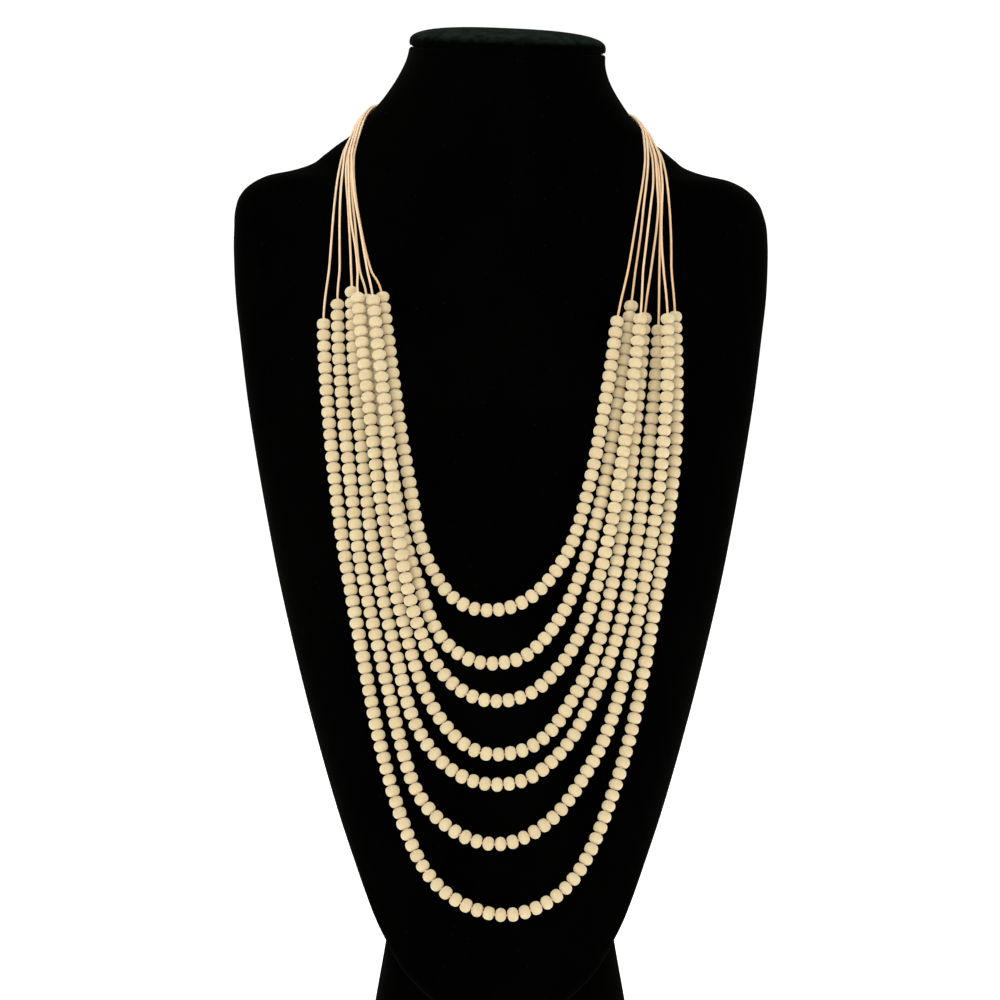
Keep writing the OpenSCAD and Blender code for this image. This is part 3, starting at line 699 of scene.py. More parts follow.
@dataclass(frozen=True)
class CordFinish:
    """Waxed cord of three laid strands, pinkish beige."""

    name: str = "waxed_cord"
    light: Colour = (0.800, 0.670, 0.470, 1.0)
    # Painted shade for the furrows between strands, and the darker tone of uneven wax.
    shade_and_wax: Colour = (0.600, 0.320, 0.140, 1.0)
    stained: Colour = (0.740, 0.500, 0.265, 1.0)

    def material(self) -> bpy.types.Material:
        """The furrows between strands get painted shade, the wax is uneven, and the cord is
        browner towards its beads."""
        g = Surface(self.name)
        spot = g.place()
        furrow = g.mark("furrow")
        wax = g.noise(spot, scale=260.0, detail=3.0, rough=0.6)
        hair = g.noise(spot, scale=4200.0, rough=0.6)
        base = g.mix(g.mark("stain"), self.light, self.stained)
        uneven = g.spread(wax, low=0.45, high=0.75)
        # Painted shade in the furrows between strands, mixed with random uneven wax.
        base = g.mix(furrow * 0.70 + uneven * 0.30, base, self.shade_and_wax)
        return g.principled({
            "Base Color": base,
            "Roughness": 0.50 + wax * 0.18,
            "Specular IOR Level": 0.35,
            "Normal": g.bump(hair, strength=0.35, distance=0.00008),
        })


@dataclass(frozen=True)
class BrassFinish:
    """Pale plated brass, brushed along the barrel's turns."""

    name: str = "pale_brass"
    bright: Colour = (0.860, 0.770, 0.560, 1.0)
    dull: Colour = (0.560, 0.455, 0.270, 1.0)

    def material(self) -> bpy.types.Material:
        """Turning marks round the barrel, with darker hollows."""
        g = Surface(self.name)
        marks = g.noise(g.place((9000.0, 60.0, 60.0)), scale=1.0, rough=0.6)
        stain = g.noise(g.place(), scale=420.0, detail=3.0, rough=0.6)
        hollow = g.spread(stain, low=0.40, high=0.75)
        return g.principled({
            "Base Color": g.mix(hollow * 0.7, self.bright, self.dull),
            "Metallic": 1.0,
            "Roughness": 0.22 + marks * 0.16,
            "Normal": g.bump(marks, strength=0.25, distance=0.00005),
        })


@dataclass(frozen=True)
class PaperFinish:
    """Pale seamless floor."""

    name: str = "pale_floor"
    pale: Colour = (0.90, 0.90, 0.90, 1.0)

    def material(self) -> bpy.types.Material:
        """Even matt paper with the faintest tooth."""
        g = Surface(self.name)
        tooth = g.noise(g.place(), scale=700.0)
        return g.principled({
            "Base Color": self.pale,
            "Roughness": 0.9,
            "Specular IOR Level": 0.1,
            "Emission Color": self.pale,
            "Emission Strength": 0.75,
            "Normal": g.bump(tooth, strength=0.05, distance=0.0001),
        })


# The bust


@dataclass(frozen=True)
class Sizes:
    """Named sizes that more than one piece is drawn from, in metres.

    Attributes:
        neck_h, shoulder_w, bust_d: height, width and depth of the bust.
        roll, pitch: slopes of the neck's top to the right and to the front.
        bead_d, bead_l, face_d: a bead's width, its length and its flat ends' width.
        bead_gap: space from bead to bead along the cord.
        cord_d: a cord's width.
        lane_share, layer_share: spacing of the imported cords, side by side and
            one on another, as shares of their width.
        clasp_d, clasp_l, cup_depth: the clasp and the cups in its ends.
        seat_gap, rest_gap: spaces under a part that is seated and one that lies.
        nape_h: height of the clasp.
    """

    neck_h: float = 0.413
    shoulder_w: float = 0.223
    bust_d: float = 0.150
    roll: float = math.tan(math.radians(2.5))
    pitch: float = math.tan(math.radians(1.0))
    bead_d: float = 0.0059
    bead_l: float = 0.00445
    face_d: float = 0.0032
    bead_gap: float = 0.00016
    cord_d: float = 0.001
    lane_share: float = 1.38
    layer_share: float = 1.1
    clasp_d: float = 0.0068
    clasp_l: float = 0.014
    cup_depth: float = 0.003
    seat_gap: float = 0.0002
    rest_gap: float = 0.0003
    nape_h: float = 0.390

    @property
    def lane_w(self) -> float:
        """Width of one cord's lane in the bundle."""
        return self.lane_share * self.cord_d

    @property
    def layer_h(self) -> float:
        """Rise from the cords on the neck to those that lie on them."""
        return self.layer_share * self.cord_d

    @property
    def neck_y(self) -> float:
        """Depth of the neck's axis."""
        return BODY[-1, 3] * self.bust_d

    @property
    def clasp_y(self) -> float:
        """Depth of the clasp's axis behind the nape."""
        return BODY[-1, 4] * self.bust_d + self.rest_gap + self.clasp_d / 2

    @property
    def mid_y(self) -> float:
        """Depth half way from the lowest beads to the clasp, which is y = 0."""
        low = min(height for _, height, _ in ROUTES[-1][1]) * MM / self.neck_h
        front = np.interp(low, LIP[:, 0], LIP[:, 2]) * self.bust_d
        return (self.clasp_y + self.clasp_d / 2 + front - self.rest_gap - self.bead_d) / 2


SIZES = Sizes()


@dataclass
class Bust:
    """Velvet neck bust: two half superellipses at each height, from lip to neck.

    Attributes:
        sizes: the named sizes.
        sides: points round a section.
        steps: rings from each row of the section table to the next.
        edge: rounding of the neck's top edge.
    """

    sizes: Sizes = SIZES
    sides: int = 200
    steps: int = 7
    edge: float = 0.0010

    def leaned(self, x: Array, y: Array, h: Array) -> Array:
        """Leans points of a section: the neck's right side and front go down.

        Args:
            x: places to the right of the middle.
            y: depths behind the section table's own zero.
            h: heights before the lean.

        Returns:
            The places, x, y and z last.
        """
        s = self.sizes
        k = np.interp(h / s.neck_h, LEAN[:, 0], LEAN[:, 1])
        shift = np.interp(h / s.neck_h, SHIFT[:, 0], SHIFT[:, 1]) * s.shoulder_w
        z = h - k * (x * s.roll - (y - s.neck_y) * s.pitch)
        return places(x + shift, y - s.mid_y, z)

    def corner(self, t: Array, half: Array, front: Array, side: Array, back: Array,
               power: Array) -> tuple[Array, Array]:
        """Point of a section at an angle from its front.

        x is half the width times sin to the power 2/n, and y goes from side to
        front or back by cos to the power 2/n, each with its sign kept.

        Returns:
            x and y of each point.
        """
        c = bulged(np.cos(t), power)
        y = side + np.where(c > 0, front - side, back - side) * np.abs(c)
        return half * bulged(np.sin(t), power), y

    def section(self, h: Array, column: int) -> Array:
        """One column of the section table, read at height h."""
        return np.interp(h / self.sizes.neck_h, SECTIONS[:, 0], SECTIONS[:, column])

    def surface(self, t: Array, h: Array) -> Array:
        """Point of the skin at t radians from the chest's middle and height h."""
        s = self.sizes
        half, front, side, back, power = (self.section(h, k) for k in range(1, 6))
        x, y = self.corner(t, half * s.shoulder_w / 2, front * s.bust_d, side * s.bust_d,
                           back * s.bust_d, power)
        return self.leaned(x, y, h)

    def chest(self, x: Array, h: Array, off: Array) -> Array:
        """Point in front of the chest, off above its surface along the normal.

        The depth is moved by off times the root of 1 + gx^2 + gz^2, where gx
        and gz are the surface's slopes to the side and upwards.

        Args:
            x: places to the right of the middle.
            h: heights.
            off: distances from the skin.

        Returns:
            The places.
        """
        half, power = self.section(h, 1) * self.sizes.shoulder_w / 2, self.section(h, 5)

        def angle(at: Array) -> Array:
            """Angle of the section's point at x."""
            return np.sign(at) * np.arcsin(np.minimum(np.abs(at) / half, 1) ** (power / 2))

        e = MM
        p = self.surface(angle(x), h)
        gx = (self.surface(angle(x + e), h) - self.surface(angle(x - e), h))[:, 1] / (2 * e)
        gz = (self.surface(angle(x), h + e) - self.surface(angle(x), h - e))[:, 1] / (2 * e)
        p[:, 1] -= off * np.sqrt(1 + gx * gx + gz * gz)
        return p

    def neck_normal(self, t: Array, h: Array) -> Array:
        """Outward normal of the neck, from the steps across and up its skin."""
        d, e = math.radians(1), MM
        across = self.surface(t + d, h) - self.surface(t - d, h)
        up = self.surface(t, h + e) - self.surface(t, h - e)
        return unit(np.cross(across, up))

    def build(self) -> bpy.types.Object:
        """Rings from the lip's tip to the neck's top, smoothed up the table.

        Width, front, side and exponent run as one smooth curve up the whole
        bust. The back starts again at the ledge behind the lip. Near the neck's
        top the rings are drawn in, so that its edge is round.
        """
        s = self.sizes
        near = self.edge / s.neck_h
        fine = smooth(SECTIONS[:, :1], self.steps)[:, 0]
        fine = np.concatenate([fine[fine < 1 - near], 1 - near * (1 - np.sin(ROUNDING))])
        lip = fine[fine < BODY[0, 0]]
        body = fine[fine >= BODY[0, 0]]
        share = np.concatenate([lip, body])
        table = np.delete(SECTIONS, len(LIP) - 1, axis=0)
        half, front, side, power = (
            hermite(share, table[:, 0], table[:, k]) for k in (1, 2, 3, 5))
        back = np.concatenate([hermite(lip, LIP[:, 0], LIP[:, 4]),
                               hermite(body, BODY[:, 0], BODY[:, 4])])
        t = full_turn(self.sides)
        inset = drawn_in(np.clip((share - 1 + near) / near, 0, 1), self.edge)
        rows = (v[:, None] for v in (half * s.shoulder_w / 2 - inset,
                                     front * s.bust_d + inset, side * s.bust_d,
                                     back * s.bust_d - inset, power))
        x, y = self.corner(t, *rows)
        shell = tube_shell(self.leaned(x, y, share[:, None] * s.neck_h), share)
        return shell.to_object("velvet_bust", crease_deg=50)


@dataclass
class Foot:
    """Velvet foot: a soft-cornered block that narrows upwards.

    Attributes:
        sizes: the named sizes.
        width, depth: its size on the floor.
        edge: rounding of the edges.
        power: exponent of the round corners.
        sides: points round it.
        steps: rings between the rounded edges.
    """

    sizes: Sizes = SIZES
    width: float = 0.110
    depth: float = 0.094
    edge: float = 0.0022
    power: float = 2.4
    sides: int = 120
    steps: int = 14

    def build(self) -> bpy.types.Object:
        """Superellipses from floor to top, drawn in at both round edges."""
        s = self.sizes
        height = LIP[-1, 0] * s.neck_h - s.seat_gap
        near = self.edge / height
        low = near * (1 - np.cos(ROUNDING))
        share = np.concatenate([low, np.linspace(near, 1 - near, self.steps)[1:-1],
                                1 - low[::-1]])
        width, front, back = (hermite(share, FOOT[:, 0], FOOT[:, k]) for k in (1, 2, 3))
        q = np.clip(np.maximum(near - share, share - 1 + near) / near, 0, 1)
        inset = drawn_in(q, self.edge)
        t = full_turn(self.sides)
        half = (width * self.width / 2 - inset)[:, None]
        mid = ((front + back) / 2 * self.depth)[:, None]
        deep = ((back - front) / 2 * self.depth - inset)[:, None]
        x = half * bulged(np.sin(t), self.power)
        y = mid - deep * bulged(np.cos(t), self.power) - s.mid_y
        shell = tube_shell(places(x, y, (share * height)[:, None]), share)
        return shell.to_object("velvet_foot", crease_deg=50)


@dataclass
class NeckCap:
    """Padded velvet disc, widest just above the neck, on a narrow step that
    sits on the neck's rounded top.

    Attributes:
        sizes: the named sizes.
        width: width at the widest place.
        lip_h: height of the widest place.
        dome_h: rise from there to the top.
        step_h: height of the step under the disc.
        step_in: how far the step lies in from the widest place.
        fullness: exponent of the dome's superellipse.
        waves: size, number to the turn and start of each wave of the rim.
        slack: share by which the rim is drawn in all round.
        top_turn: share of the quarter turn at which the dome's last ring lies.
        sheen_rise: share of the dome's rise over which the painted sheen on the cap's top grows
            to full.
        dome_steps: rings of the dome.
        sides: points round the disc.
    """

    sizes: Sizes = SIZES
    width: float = 0.0825
    lip_h: float = 0.0019
    dome_h: float = 0.0074
    step_h: float = 0.0005
    step_in: float = 0.0012
    fullness: float = 2.7
    waves: tuple[tuple[float, int, float], ...] = (
        (0.0012, 3, 0.6), (0.0008, 7, 2.1), (0.0005, 19, 0.0))
    slack: float = 0.001
    top_turn: float = 0.985
    sheen_rise: float = 0.55
    dome_steps: int = 30
    sides: int = 144

    def profile(self) -> Array:
        """Radius and height: step, undercut lower edge and full dome.

        The dome is a superellipse: radius goes as cos to the power 2/n and
        height as sin to the power 2/n, n being its fullness.
        """
        radius = self.width / 2
        step = np.array([[radius - self.step_in, 0.0], [radius - self.step_in, self.step_h]])
        turn = np.linspace(math.pi / 4, math.pi / 2, len(ROUNDING))[:-1]
        under = self.lip_h - self.step_h
        low = np.stack([radius - under * (1 - np.sin(turn)),
                        self.lip_h - under * np.cos(turn) / math.cos(math.pi / 4)], axis=1)
        rise = np.linspace(0, self.top_turn * math.pi / 2, self.dome_steps)
        dome = np.stack([radius * np.cos(rise) ** (2 / self.fullness),
                         self.lip_h + self.dome_h * np.sin(rise) ** (2 / self.fullness)],
                        axis=1)
        return np.concatenate([step, low, dome])

    def build(self) -> bpy.types.Object:
        """The profile turned about the neck's leaning axis.

        The rim swells and sinks a little, as padded cloth does: the radius is
        times 1 plus the small waves, less the slack.
        """
        s = self.sizes
        radius, height = self.profile().T
        t = full_turn(self.sides)
        wave = sum(size * np.sin(count * t + start) for size, count, start in self.waves)
        full = np.clip(height / self.lip_h, 0, 1)[:, None]
        r = radius[:, None] * (1 + full * wave - self.slack * full)
        x, y = r * np.sin(t), -r * np.cos(t)
        z = height[:, None] + s.seat_gap
        roll, pitch = math.atan(s.roll), math.atan(s.pitch)
        y, z = (y * math.cos(pitch) - z * math.sin(pitch),
                y * math.sin(pitch) + z * math.cos(pitch))
        x, z = (x * math.cos(roll) + z * math.sin(roll),
                -x * math.sin(roll) + z * math.cos(roll))
        centre = (SHIFT[-1, 1] * s.shoulder_w, s.neck_y - s.mid_y, s.neck_h)
        shell = tube_shell(places(x, y, z) + centre, np.linspace(0, 1, len(radius)))
        # Painted sheen: the nap mark grows up the dome, so the cap's top is paler.
        nap = np.clip((height - self.lip_h) / (self.sheen_rise * self.dome_h), 0, 1)
        shell.marks["nap"] = np.concatenate([np.repeat(nap, self.sides), [0.0, 1.0]])
        return shell.to_object("velvet_neck_cap", crease_deg=55)


# The strings


@dataclass
class Route:
    """Way of one string: from the clasp, down the chest, and back to it.

    Attributes:
        number: which string, 0 for the innermost.
        bust: the form that it lies on.
        steps: stretches of the curve from one chosen point to the next.
        fine: the same where the cord is bare.
    """

    number: int
    bust: Bust
    steps: int = 6
    fine: int = 24

    def neck_cord(self, side: Side) -> Array:
        """Points of the cord from the clasp to the shoulder.

        Each lies on the neck's skin, out along its normal by the cord's place
        in the bundle and sideways by its lane.

        Args:
            side: which side of the neck.

        Returns:
            The points, clasp first.
        """
        s, sign = self.bust.sizes, side.value
        hand = 0 if side is Side.LEFT else 1
        lane, layer, flat_lane = LANES[self.number][hand]
        degrees, height, lift, flat = NECK_WAY[hand].T
        t, h = np.radians(sign * degrees), height * MM
        skin, normal = self.bust.surface(t, h), self.bust.neck_normal(t, h)
        i = np.arange(len(skin))
        run = skin[np.minimum(i + 1, len(skin) - 1)] - skin[np.maximum(i - 1, 0)]
        out = unit(np.cross(run, normal)) * -sign
        across = (lane + (flat_lane - lane) * flat) * s.lane_w
        up = s.cord_d / 2 + s.rest_gap + layer * (1 - flat) * s.layer_h + lift * MM
        ends = sign * (s.clasp_l / 2 + np.array([2 * s.seat_gap - s.cup_depth, 3 * MM]))
        y = s.clasp_y - s.mid_y + (layer - 0.5) * s.layer_h
        start = np.stack([ends, np.full(2, y), np.full(2, s.nape_h - lane * s.lane_w)], axis=1)
        return np.concatenate([start, skin + normal * up[:, None] + out * across[:, None]])

    def on_chest(self, x: Array, height: Array, lift: Array, radius: float) -> Array:
        """Chosen points laid on the chest, clear of it by radius and rest gap."""
        s = self.bust.sizes
        return self.bust.chest(x * MM, height * MM, radius + s.rest_gap + lift * s.bead_d)

    def knots(self) -> Array:
        """Every chosen point of the string, from the clasp round to the clasp."""
        s = self.bust.sizes
        left, beads, right = (np.array(part, float).T for part in ROUTES[self.number])
        return np.concatenate([
            self.neck_cord(Side.LEFT),
            self.on_chest(left[0], BARE_H, left[1], s.cord_d / 2),
            self.on_chest(*beads, s.bead_d / 2),
            self.on_chest(right[0], BARE_H[::-1], right[1], s.cord_d / 2),
            self.neck_cord(Side.RIGHT)[::-1]])

    def beaded(self) -> tuple[int, int]:
        """Numbers of the knots where the beads start and end."""
        first = 2 + NECK_WAY.shape[1] + len(BARE_H)
        return first, first + len(ROUTES[self.number][1]) - 1

    def gaps(self) -> Array:
        """Places of the gaps between beads, from before the first to after the last."""
        s = self.bust.sizes
        first, last = (knot * self.steps for knot in self.beaded())
        curve = smooth(self.knots(), self.steps)[first:last + 1]
        length = running_length(curve, s.face_d / 2)[-1]
        count = math.floor(length / (s.bead_l + s.bead_gap))
        return respaced(curve, count, s.face_d / 2)

    def bare(self, side: Side, spacing: float) -> Array:
        """Fine points of a bare stretch of cord, from the clasp to its first bead."""
        first, last = (knot * self.fine for knot in self.beaded())
        curve = smooth(self.knots(), self.fine)
        run = curve[:first + 1] if side is Side.LEFT else curve[last:][::-1]
        return respaced(run, math.ceil(running_length(run)[-1] / spacing))

    def frames(self, points: Array, way: Array) -> tuple[Array, Array]:
        """Two directions across the string at each point.

        The first is the direction away from the neck's axis, made square to
        the string's way. The second is square to both.
        """
        away = points - np.array([0.0, self.bust.sizes.neck_y - self.bust.sizes.mid_y, 0.0])
        away[:, 2] = 0.0
        away = unit(away)
        u = unit(away - (away * way).sum(1, keepdims=True) * way)
        return u, np.cross(way, u)


@dataclass
class BeadString:
    """The beads of one string: drilled barrels with soft edges, each a little
    different in size, tilt and roundness.

    Attributes:
        route: where the string lies.
        sides: points round a bead.
        tilt_deg: usual tilt off the cord.
        tilt_most: greatest tilt, in radians.
        slim: share that the slimmest bead lacks in girth.
        rarity: power that makes slim beads the rarer ones.
        short, long: shares by which beads are shorter or longer.
        oval, lobed: how far a bead is out of round, in two and three lobes.
        slant: usual slant of the flat ends, as a share of half the length.
        evenness: how closely the tones gather about the middle one.
        grain_step: shift of the grain from bead to bead, so that none repeats.
        seed: first of the strings' seeds.
    """

    route: Route
    sides: int = 12
    tilt_deg: float = 1.7
    tilt_most: float = 0.06
    slim: float = 0.030
    rarity: float = 1.5
    short: float = 0.035
    long: float = 0.008
    oval: float = 0.012
    lobed: float = 0.007
    slant: float = 0.018
    evenness: float = 2.2
    grain_step: float = 17.3
    seed: int = 4100

    def profile(self, boxy: Array) -> tuple[Array, Array]:
        """Radius and half length of a bead's nine rings, as shares.

        From the bore over the flat end and the soft edge to the belly and down
        again. A boxy bead has a fuller edge.

        Args:
            boxy: 0 to 1 for each bead.

        Returns:
            Radius and axial place, as beads x rings.
        """
        b, belly = boxy[:, None], np.ones((len(boxy), 1))
        radius, axial = BEAD[:, 0] + b * BEAD[:, 2], BEAD[:, 1] + b * BEAD[:, 3]
        return (np.concatenate([radius, belly, radius[:, ::-1]], axis=1),
                np.concatenate([-axial, 0 * belly, axial[:, ::-1]], axis=1))

    def build(self) -> bpy.types.Object:
        """All the string's beads in one mesh.

        Ring r of bead n is a circle of its own radius, made slightly oval and
        lobed, tilted a little off the cord and slanted at the flat ends.
        """
        s, route = self.route.bust.sizes, self.route
        gaps = route.gaps()
        count = len(gaps) - 1
        rng = np.random.default_rng(self.seed + route.number)
        centre, way = (gaps[1:] + gaps[:-1]) / 2, unit(np.diff(gaps, axis=0))
        u, w = route.frames(centre, way)
        tilt = rng.normal(0, math.radians(self.tilt_deg), (count, 2))
        tilt = tilt.clip(-self.tilt_most, self.tilt_most)
        axis = unit(way + tilt[:, :1] * u + tilt[:, 1:] * w)
        u = unit(u - (u * axis).sum(1, keepdims=True) * axis)
        w = np.cross(axis, u)
        radius, axial = self.profile(rng.uniform(0, 1, count))
        girth = 1 - self.slim * rng.uniform(0, 1, count) ** self.rarity
        length = 1 + rng.uniform(-self.short, self.long, count)
        turn = rng.uniform(0, 2 * math.pi, (count, 1))
        t = full_turn(self.sides) + turn
        out = rng.uniform(0, self.oval, (count, 1)) * np.cos(2 * t)
        out = 1 + out + rng.uniform(0, self.lobed, (count, 1)) * np.cos(3 * t + turn)
        slant = rng.normal(0, self.slant, (count, 1, 1)) * np.cos(t)[:, None, :]
        r = (radius * girth[:, None] * s.bead_d / 2)[:, :, None] * (out - self.oval)[:, None, :]
        a = (axial * length[:, None])[:, :, None] + slant * np.abs(radius)[:, :, None]
        a = a * s.bead_l / 2
        middle = centre[:, None, None] + a[..., None] * axis[:, None, None]
        rings = around(middle, r, t[:, None], u[:, None, None], w[:, None, None])
        rows = radius.shape[1]
        across = np.linspace(0, math.pi * s.bead_d / MM, self.sides + 1)
        along = axial * s.bead_l / 2 / MM + np.arange(count)[:, None] * self.grain_step
        shell = ring_shell(rings, across, along, Ends.RING)
        # The end mark places painted warm shade on the flat ends and the bore.
        end = np.concatenate([BEAD[:, 4], [0.0], BEAD[::-1, 4]])
        shell.marks["end"] = np.broadcast_to(end[None, :, None],
                                             (count, rows, self.sides)).ravel()
        tone = rng.beta(self.evenness, self.evenness, count)
        shell.marks["tone"] = np.repeat(tone, rows * self.sides)
        return shell.to_object(f"wood_beads_{route.number + 1}", crease_deg=80)


@dataclass
class Cord:
    """Laid cord of one string, clasp to clasp through its beads.

    Attributes:
        route: where the string lies.
        stain: how brown its left and its right stretch grow towards the beads.
        sides: points round the cord.
        spacing: distance between rings in the bare stretches.
        strands: number of strands.
        lay: length of one full turn of the strands.
        furrow: depth of the furrows as a share of the radius.
        stain_top: height at which the brown starts.
        stain_run: drop over which it reaches its full depth.
    """

    route: Route
    stain: tuple[float, float]
    sides: int = 12
    spacing: float = 0.00042
    strands: int = 3
    lay: float = 0.0042
    furrow: float = 0.16
    stain_top: float = 0.385
    stain_run: float = 0.05

    def build(self) -> bpy.types.Object:
        """Lobed rings that turn along the cord.

        The radius at angle t and length s is the cord's radius times 1 less
        furrow times (1 - cos(n (t - 2 pi s / lay))) / 2 for n strands. Inside
        the beads the rings are plain circles, one to a gap.
        """
        route, s = self.route, self.route.bust.sizes
        left = route.bare(Side.LEFT, self.spacing)
        right = route.bare(Side.RIGHT, self.spacing)[::-1]
        gaps = route.gaps()
        points = np.concatenate([left, gaps[1:-1], right])
        lobed = np.ones(len(points))
        lobed[len(left) - 1:len(left) + len(gaps) - 1] = 0.0
        way = unit(np.gradient(points, axis=0))
        u, w = route.frames(points, way)
        length = running_length(points)
        t = full_turn(self.sides)
        turned = t - 2 * math.pi * length[:, None] / self.lay
        lobe = (1 - np.cos(self.strands * turned)) / 2 * lobed[:, None]
        r = s.cord_d / 2 * (1 - self.furrow * lobe)
        shell = tube_shell(around(points[:, None], r, t, u[:, None], w[:, None]), length / MM)
        depth = np.where(points[:, 0] < 0, self.stain[0], self.stain[1])
        stain = depth * np.clip((self.stain_top - points[:, 2]) / self.stain_run, 0, 1)
        # The furrow mark also places painted shade in the grooves between strands.
        shell.marks["furrow"] = np.concatenate([lobe.ravel(), [0.0, 0.0]])
        shell.marks["stain"] = np.concatenate([np.repeat(stain, self.sides), [0.0, 0.0]])
        return shell.to_object(f"laid_cord_{route.number + 1}", crease_deg=80)


@dataclass
class Clasp:
    """Barrel clasp at the nape: a turned barrel with a screw joint and a cup
    at each end that the cords run into.

    Attributes:
        sizes: the named sizes.
        sides: points round the barrel.
        lip_steps: rings of each rounded lip.
        hub: radius of the innermost ring of a cup's floor.
        floor_share: radius of the floor's outer ring, as a share of the cup's.
        fillet: rise from that ring to the cup's wall.
    """

    sizes: Sizes = SIZES
    sides: int = 48
    lip_steps: int = 9
    hub: float = 0.3 * MM
    floor_share: float = 0.96
    fillet: float = 0.1 * MM

    def profile(self) -> Array:
        """Axial place and radius, from one cup's floor over the lip to the other.

        The barrel has rounded lips, a shallow waist and a fine groove where
        its two halves screw together.
        """
        s = self.sizes
        outer = max(lane for hands in LANES for lane, _, _ in hands)
        cup = outer * s.lane_w + s.cord_d / 2 + s.rest_gap
        half, radius = s.clasp_l / 2, s.clasp_d / 2
        lip = (radius - cup) / 2
        turn = np.linspace(0, math.pi, self.lip_steps)
        edge = np.stack([half - lip + lip * np.sin(turn),
                         cup + lip - lip * np.cos(turn)], axis=1)
        side = BARREL * [half, radius]
        floor = half - s.cup_depth
        inner = np.array([[floor, self.hub], [floor, cup * self.floor_share],
                          [floor + self.fillet, cup]])
        right = np.concatenate([inner, edge, side])
        return np.concatenate([right, (right * [-1, 1])[::-1][1:]])

    def build(self) -> bpy.types.Object:
        """The profile turned about the barrel's axis, which lies along X."""
        s = self.sizes
        x, r = self.profile().T
        t = full_turn(self.sides)
        y = r[:, None] * np.cos(t) + s.clasp_y - s.mid_y
        z = r[:, None] * np.sin(t) + s.nape_h
        shell = tube_shell(places(x[:, None], y, z), np.linspace(0, 1, len(x)))
        return shell.to_object("barrel_clasp", crease_deg=40)


# The studio


def aimed(name: str, data: bpy.types.ID, place: Point, aim: Point) -> bpy.types.Object:
    """Adds a lamp or a camera at a place, turned to face its aim."""
    thing = bpy.data.objects.new(name, data)
    thing.location = place
    toward = Vector(aim) - Vector(place)
    thing.rotation_euler = toward.to_track_quat("-Z", "Y").to_euler()
    bpy.context.scene.collection.objects.link(thing)
    return thing


@dataclass(frozen=True)
class Softbox:
    """One square soft light, aimed at the middle of the object."""

    name: str
    place: Point
    side: float
    power: float
    aim: Point = (0.0, 0.0, 0.24)

    def build(self) -> bpy.types.Object:
        """An area light turned to face its aim."""
        lamp = bpy.data.lights.new(self.name, "AREA")
        lamp.shape, lamp.size, lamp.energy = "SQUARE", self.side, self.power
        return aimed(self.name, lamp, self.place, self.aim)


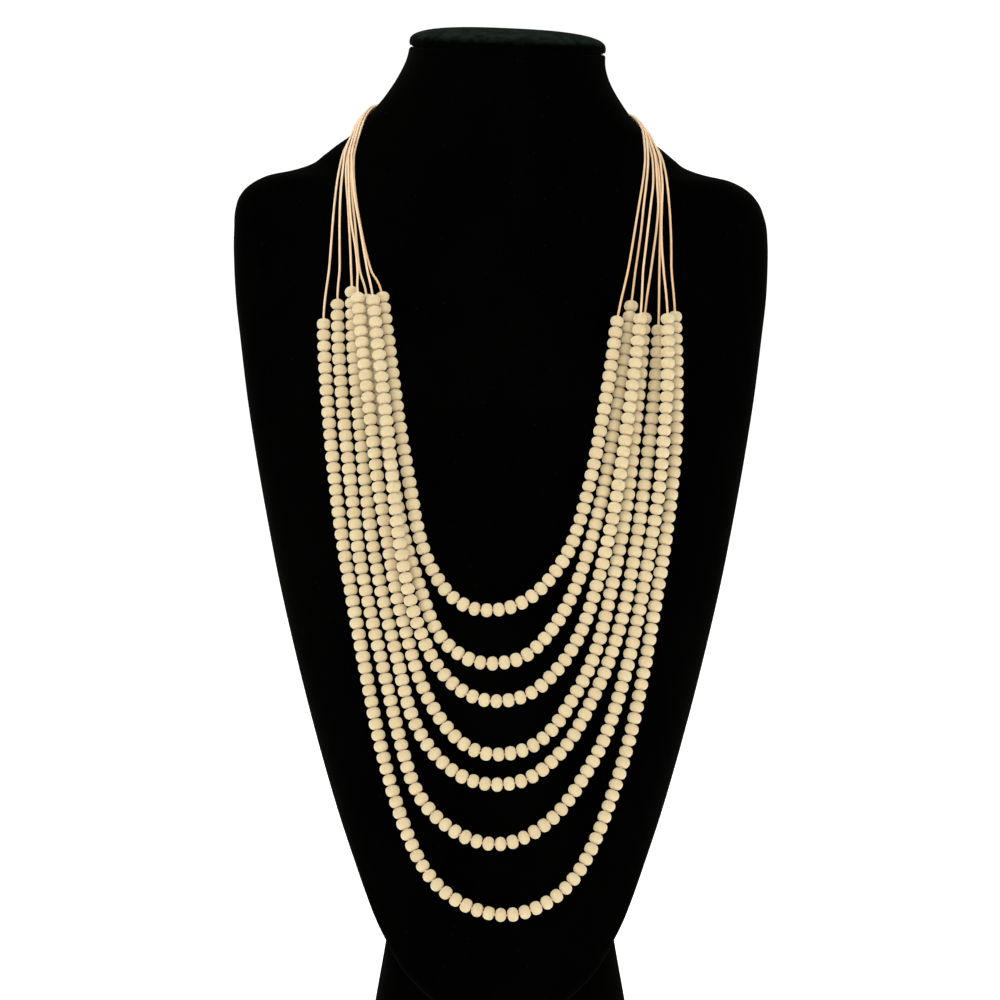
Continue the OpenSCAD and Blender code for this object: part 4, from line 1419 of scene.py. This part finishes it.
@dataclass
class Studio:
    """Pale floor, white surround, soft lights and the camera.

    Attributes:
        floor_side: side of the square floor.
        camera_place: where the camera stands.
        camera_aim: the point that it looks at.
        lens_mm: focal length on a 36 mm wide sensor.
        above: light from directions whose z is above_z or more.
        below: light from directions whose z is below_z or less.
        seen: brightness of the white behind the object.
    """

    floor_side: float = 60.0
    camera_place: Point = (0.0, -1.99535, 0.40151)
    camera_aim: Point = (0.0, -0.00296, 0.2272)
    lens_mm: float = 173.5
    above: float = 0.55
    below: float = 0.35
    above_z: float = 0.9
    below_z: float = -0.3
    seen: float = 1.05

    def lights(self) -> list[Softbox]:
        """Large boxes at both sides and above, and one in front."""
        return [
            Softbox("left_box", (-1.5, -0.9, 0.9), side=1.1, power=6.5),
            Softbox("right_box", (1.5, -0.9, 0.8), side=1.1, power=7.5),
            Softbox("top_box", (-0.35, 0.15, 1.9), side=1.0, power=19.0),
            Softbox("front_box", (-0.25, -2.7, 0.75), side=1.2, power=23.0),
        ]

    def build(self) -> None:
        """Adds the camera, the surround, the lights and the floor."""
        scene = bpy.context.scene
        lens = bpy.data.cameras.new("camera")
        lens.lens, lens.sensor_width = self.lens_mm, SENSOR_MM
        scene.camera = aimed("camera", lens, self.camera_place, self.camera_aim)
        scene.view_settings.view_transform = "Standard"
        self.world(scene)
        for box in self.lights():
            box.build()
        self.floor()

    def world(self, scene: bpy.types.Scene) -> None:
        """White behind the object; as light, bright above and dim below."""
        world = bpy.data.worlds.new("surround")
        world.use_nodes = True
        g = Graph(world.node_tree, "ShaderNodeOutputWorld")
        way = g.add("ShaderNodeTexCoord", {}, {}, "Generated")
        rise = g.add("ShaderNodeMapRange", {}, {
            "Value": g.add("ShaderNodeSeparateXYZ", {}, {0: way}, "Z"),
            "From Min": self.below_z, "From Max": self.above_z,
            "To Min": self.below, "To Max": self.above})
        lit, seen = (g.add("ShaderNodeBackground", {}, {"Color": WHITE, "Strength": strength})
                     for strength in (rise, self.seen))
        direct = g.add("ShaderNodeLightPath", {}, {}, "Is Camera Ray")
        g.end(g.add("ShaderNodeMixShader", {}, {0: direct, 1: lit, 2: seen}))
        scene.world = world

    def floor(self) -> bpy.types.Object:
        """A flat sheet at z = 0."""
        h = self.floor_side / 2
        mesh = bpy.data.meshes.new("floor")
        mesh.from_pydata([(-h, -h, 0), (h, -h, 0), (h, h, 0), (-h, h, 0)], [], [(0, 1, 2, 3)])
        floor = bpy.data.objects.new("floor", mesh)
        floor.data.materials.append(PaperFinish().material())
        bpy.context.scene.collection.objects.link(floor)
        return floor


# The whole


@dataclass
class Necklace:
    """The seven strings, their cords and the clasp, on the bust."""

    bust: Bust = field(default_factory=Bust)

    def settle(self, piece: bpy.types.Object, finish: bpy.types.Material,
               node: str) -> None:
        """Dresses a piece, attaches it to the body and hides the solid that it stands for.

        Args:
            piece: the finished mesh object.
            finish: its material.
            node: the solid's name.
        """
        piece.data.materials.clear()
        piece.data.materials.append(finish)
        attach(piece, BODY_NAME)
        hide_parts(node)
        log.info("%s: %d faces, for %s", piece.name, len(piece.data.polygons), node)

    def build(self) -> None:
        """Builds and dresses every piece in order."""
        velvet = VelvetFinish().material()
        self.settle(self.bust.build(), velvet, "bust")
        self.settle(Foot().build(), velvet, "foot")
        self.settle(NeckCap().build(), velvet, "neck_cap")
        wood, cord = WoodFinish().material(), CordFinish().material()
        for number in range(len(ROUTES)):
            route = Route(number, self.bust)
            self.settle(BeadString(route).build(), wood, f"beads_{number + 1}")
            self.settle(Cord(route, STAINS[number]).build(), cord,
                        f"thread_{number + 1}")
        self.settle(Clasp().build(), BrassFinish().material(), "clasp")


def corners(box: tuple[Vector, Vector]) -> list[list[float]]:
    """A box's two corners as plain lists."""
    return [list(corner) for corner in box]


def main() -> None:
    """Builds the studio and the object."""
    logging.basicConfig(level=logging.INFO, format="%(name)s: %(message)s")
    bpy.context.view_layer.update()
    Studio().build()
    Necklace().build()


if __name__ == "__main__":
    main()
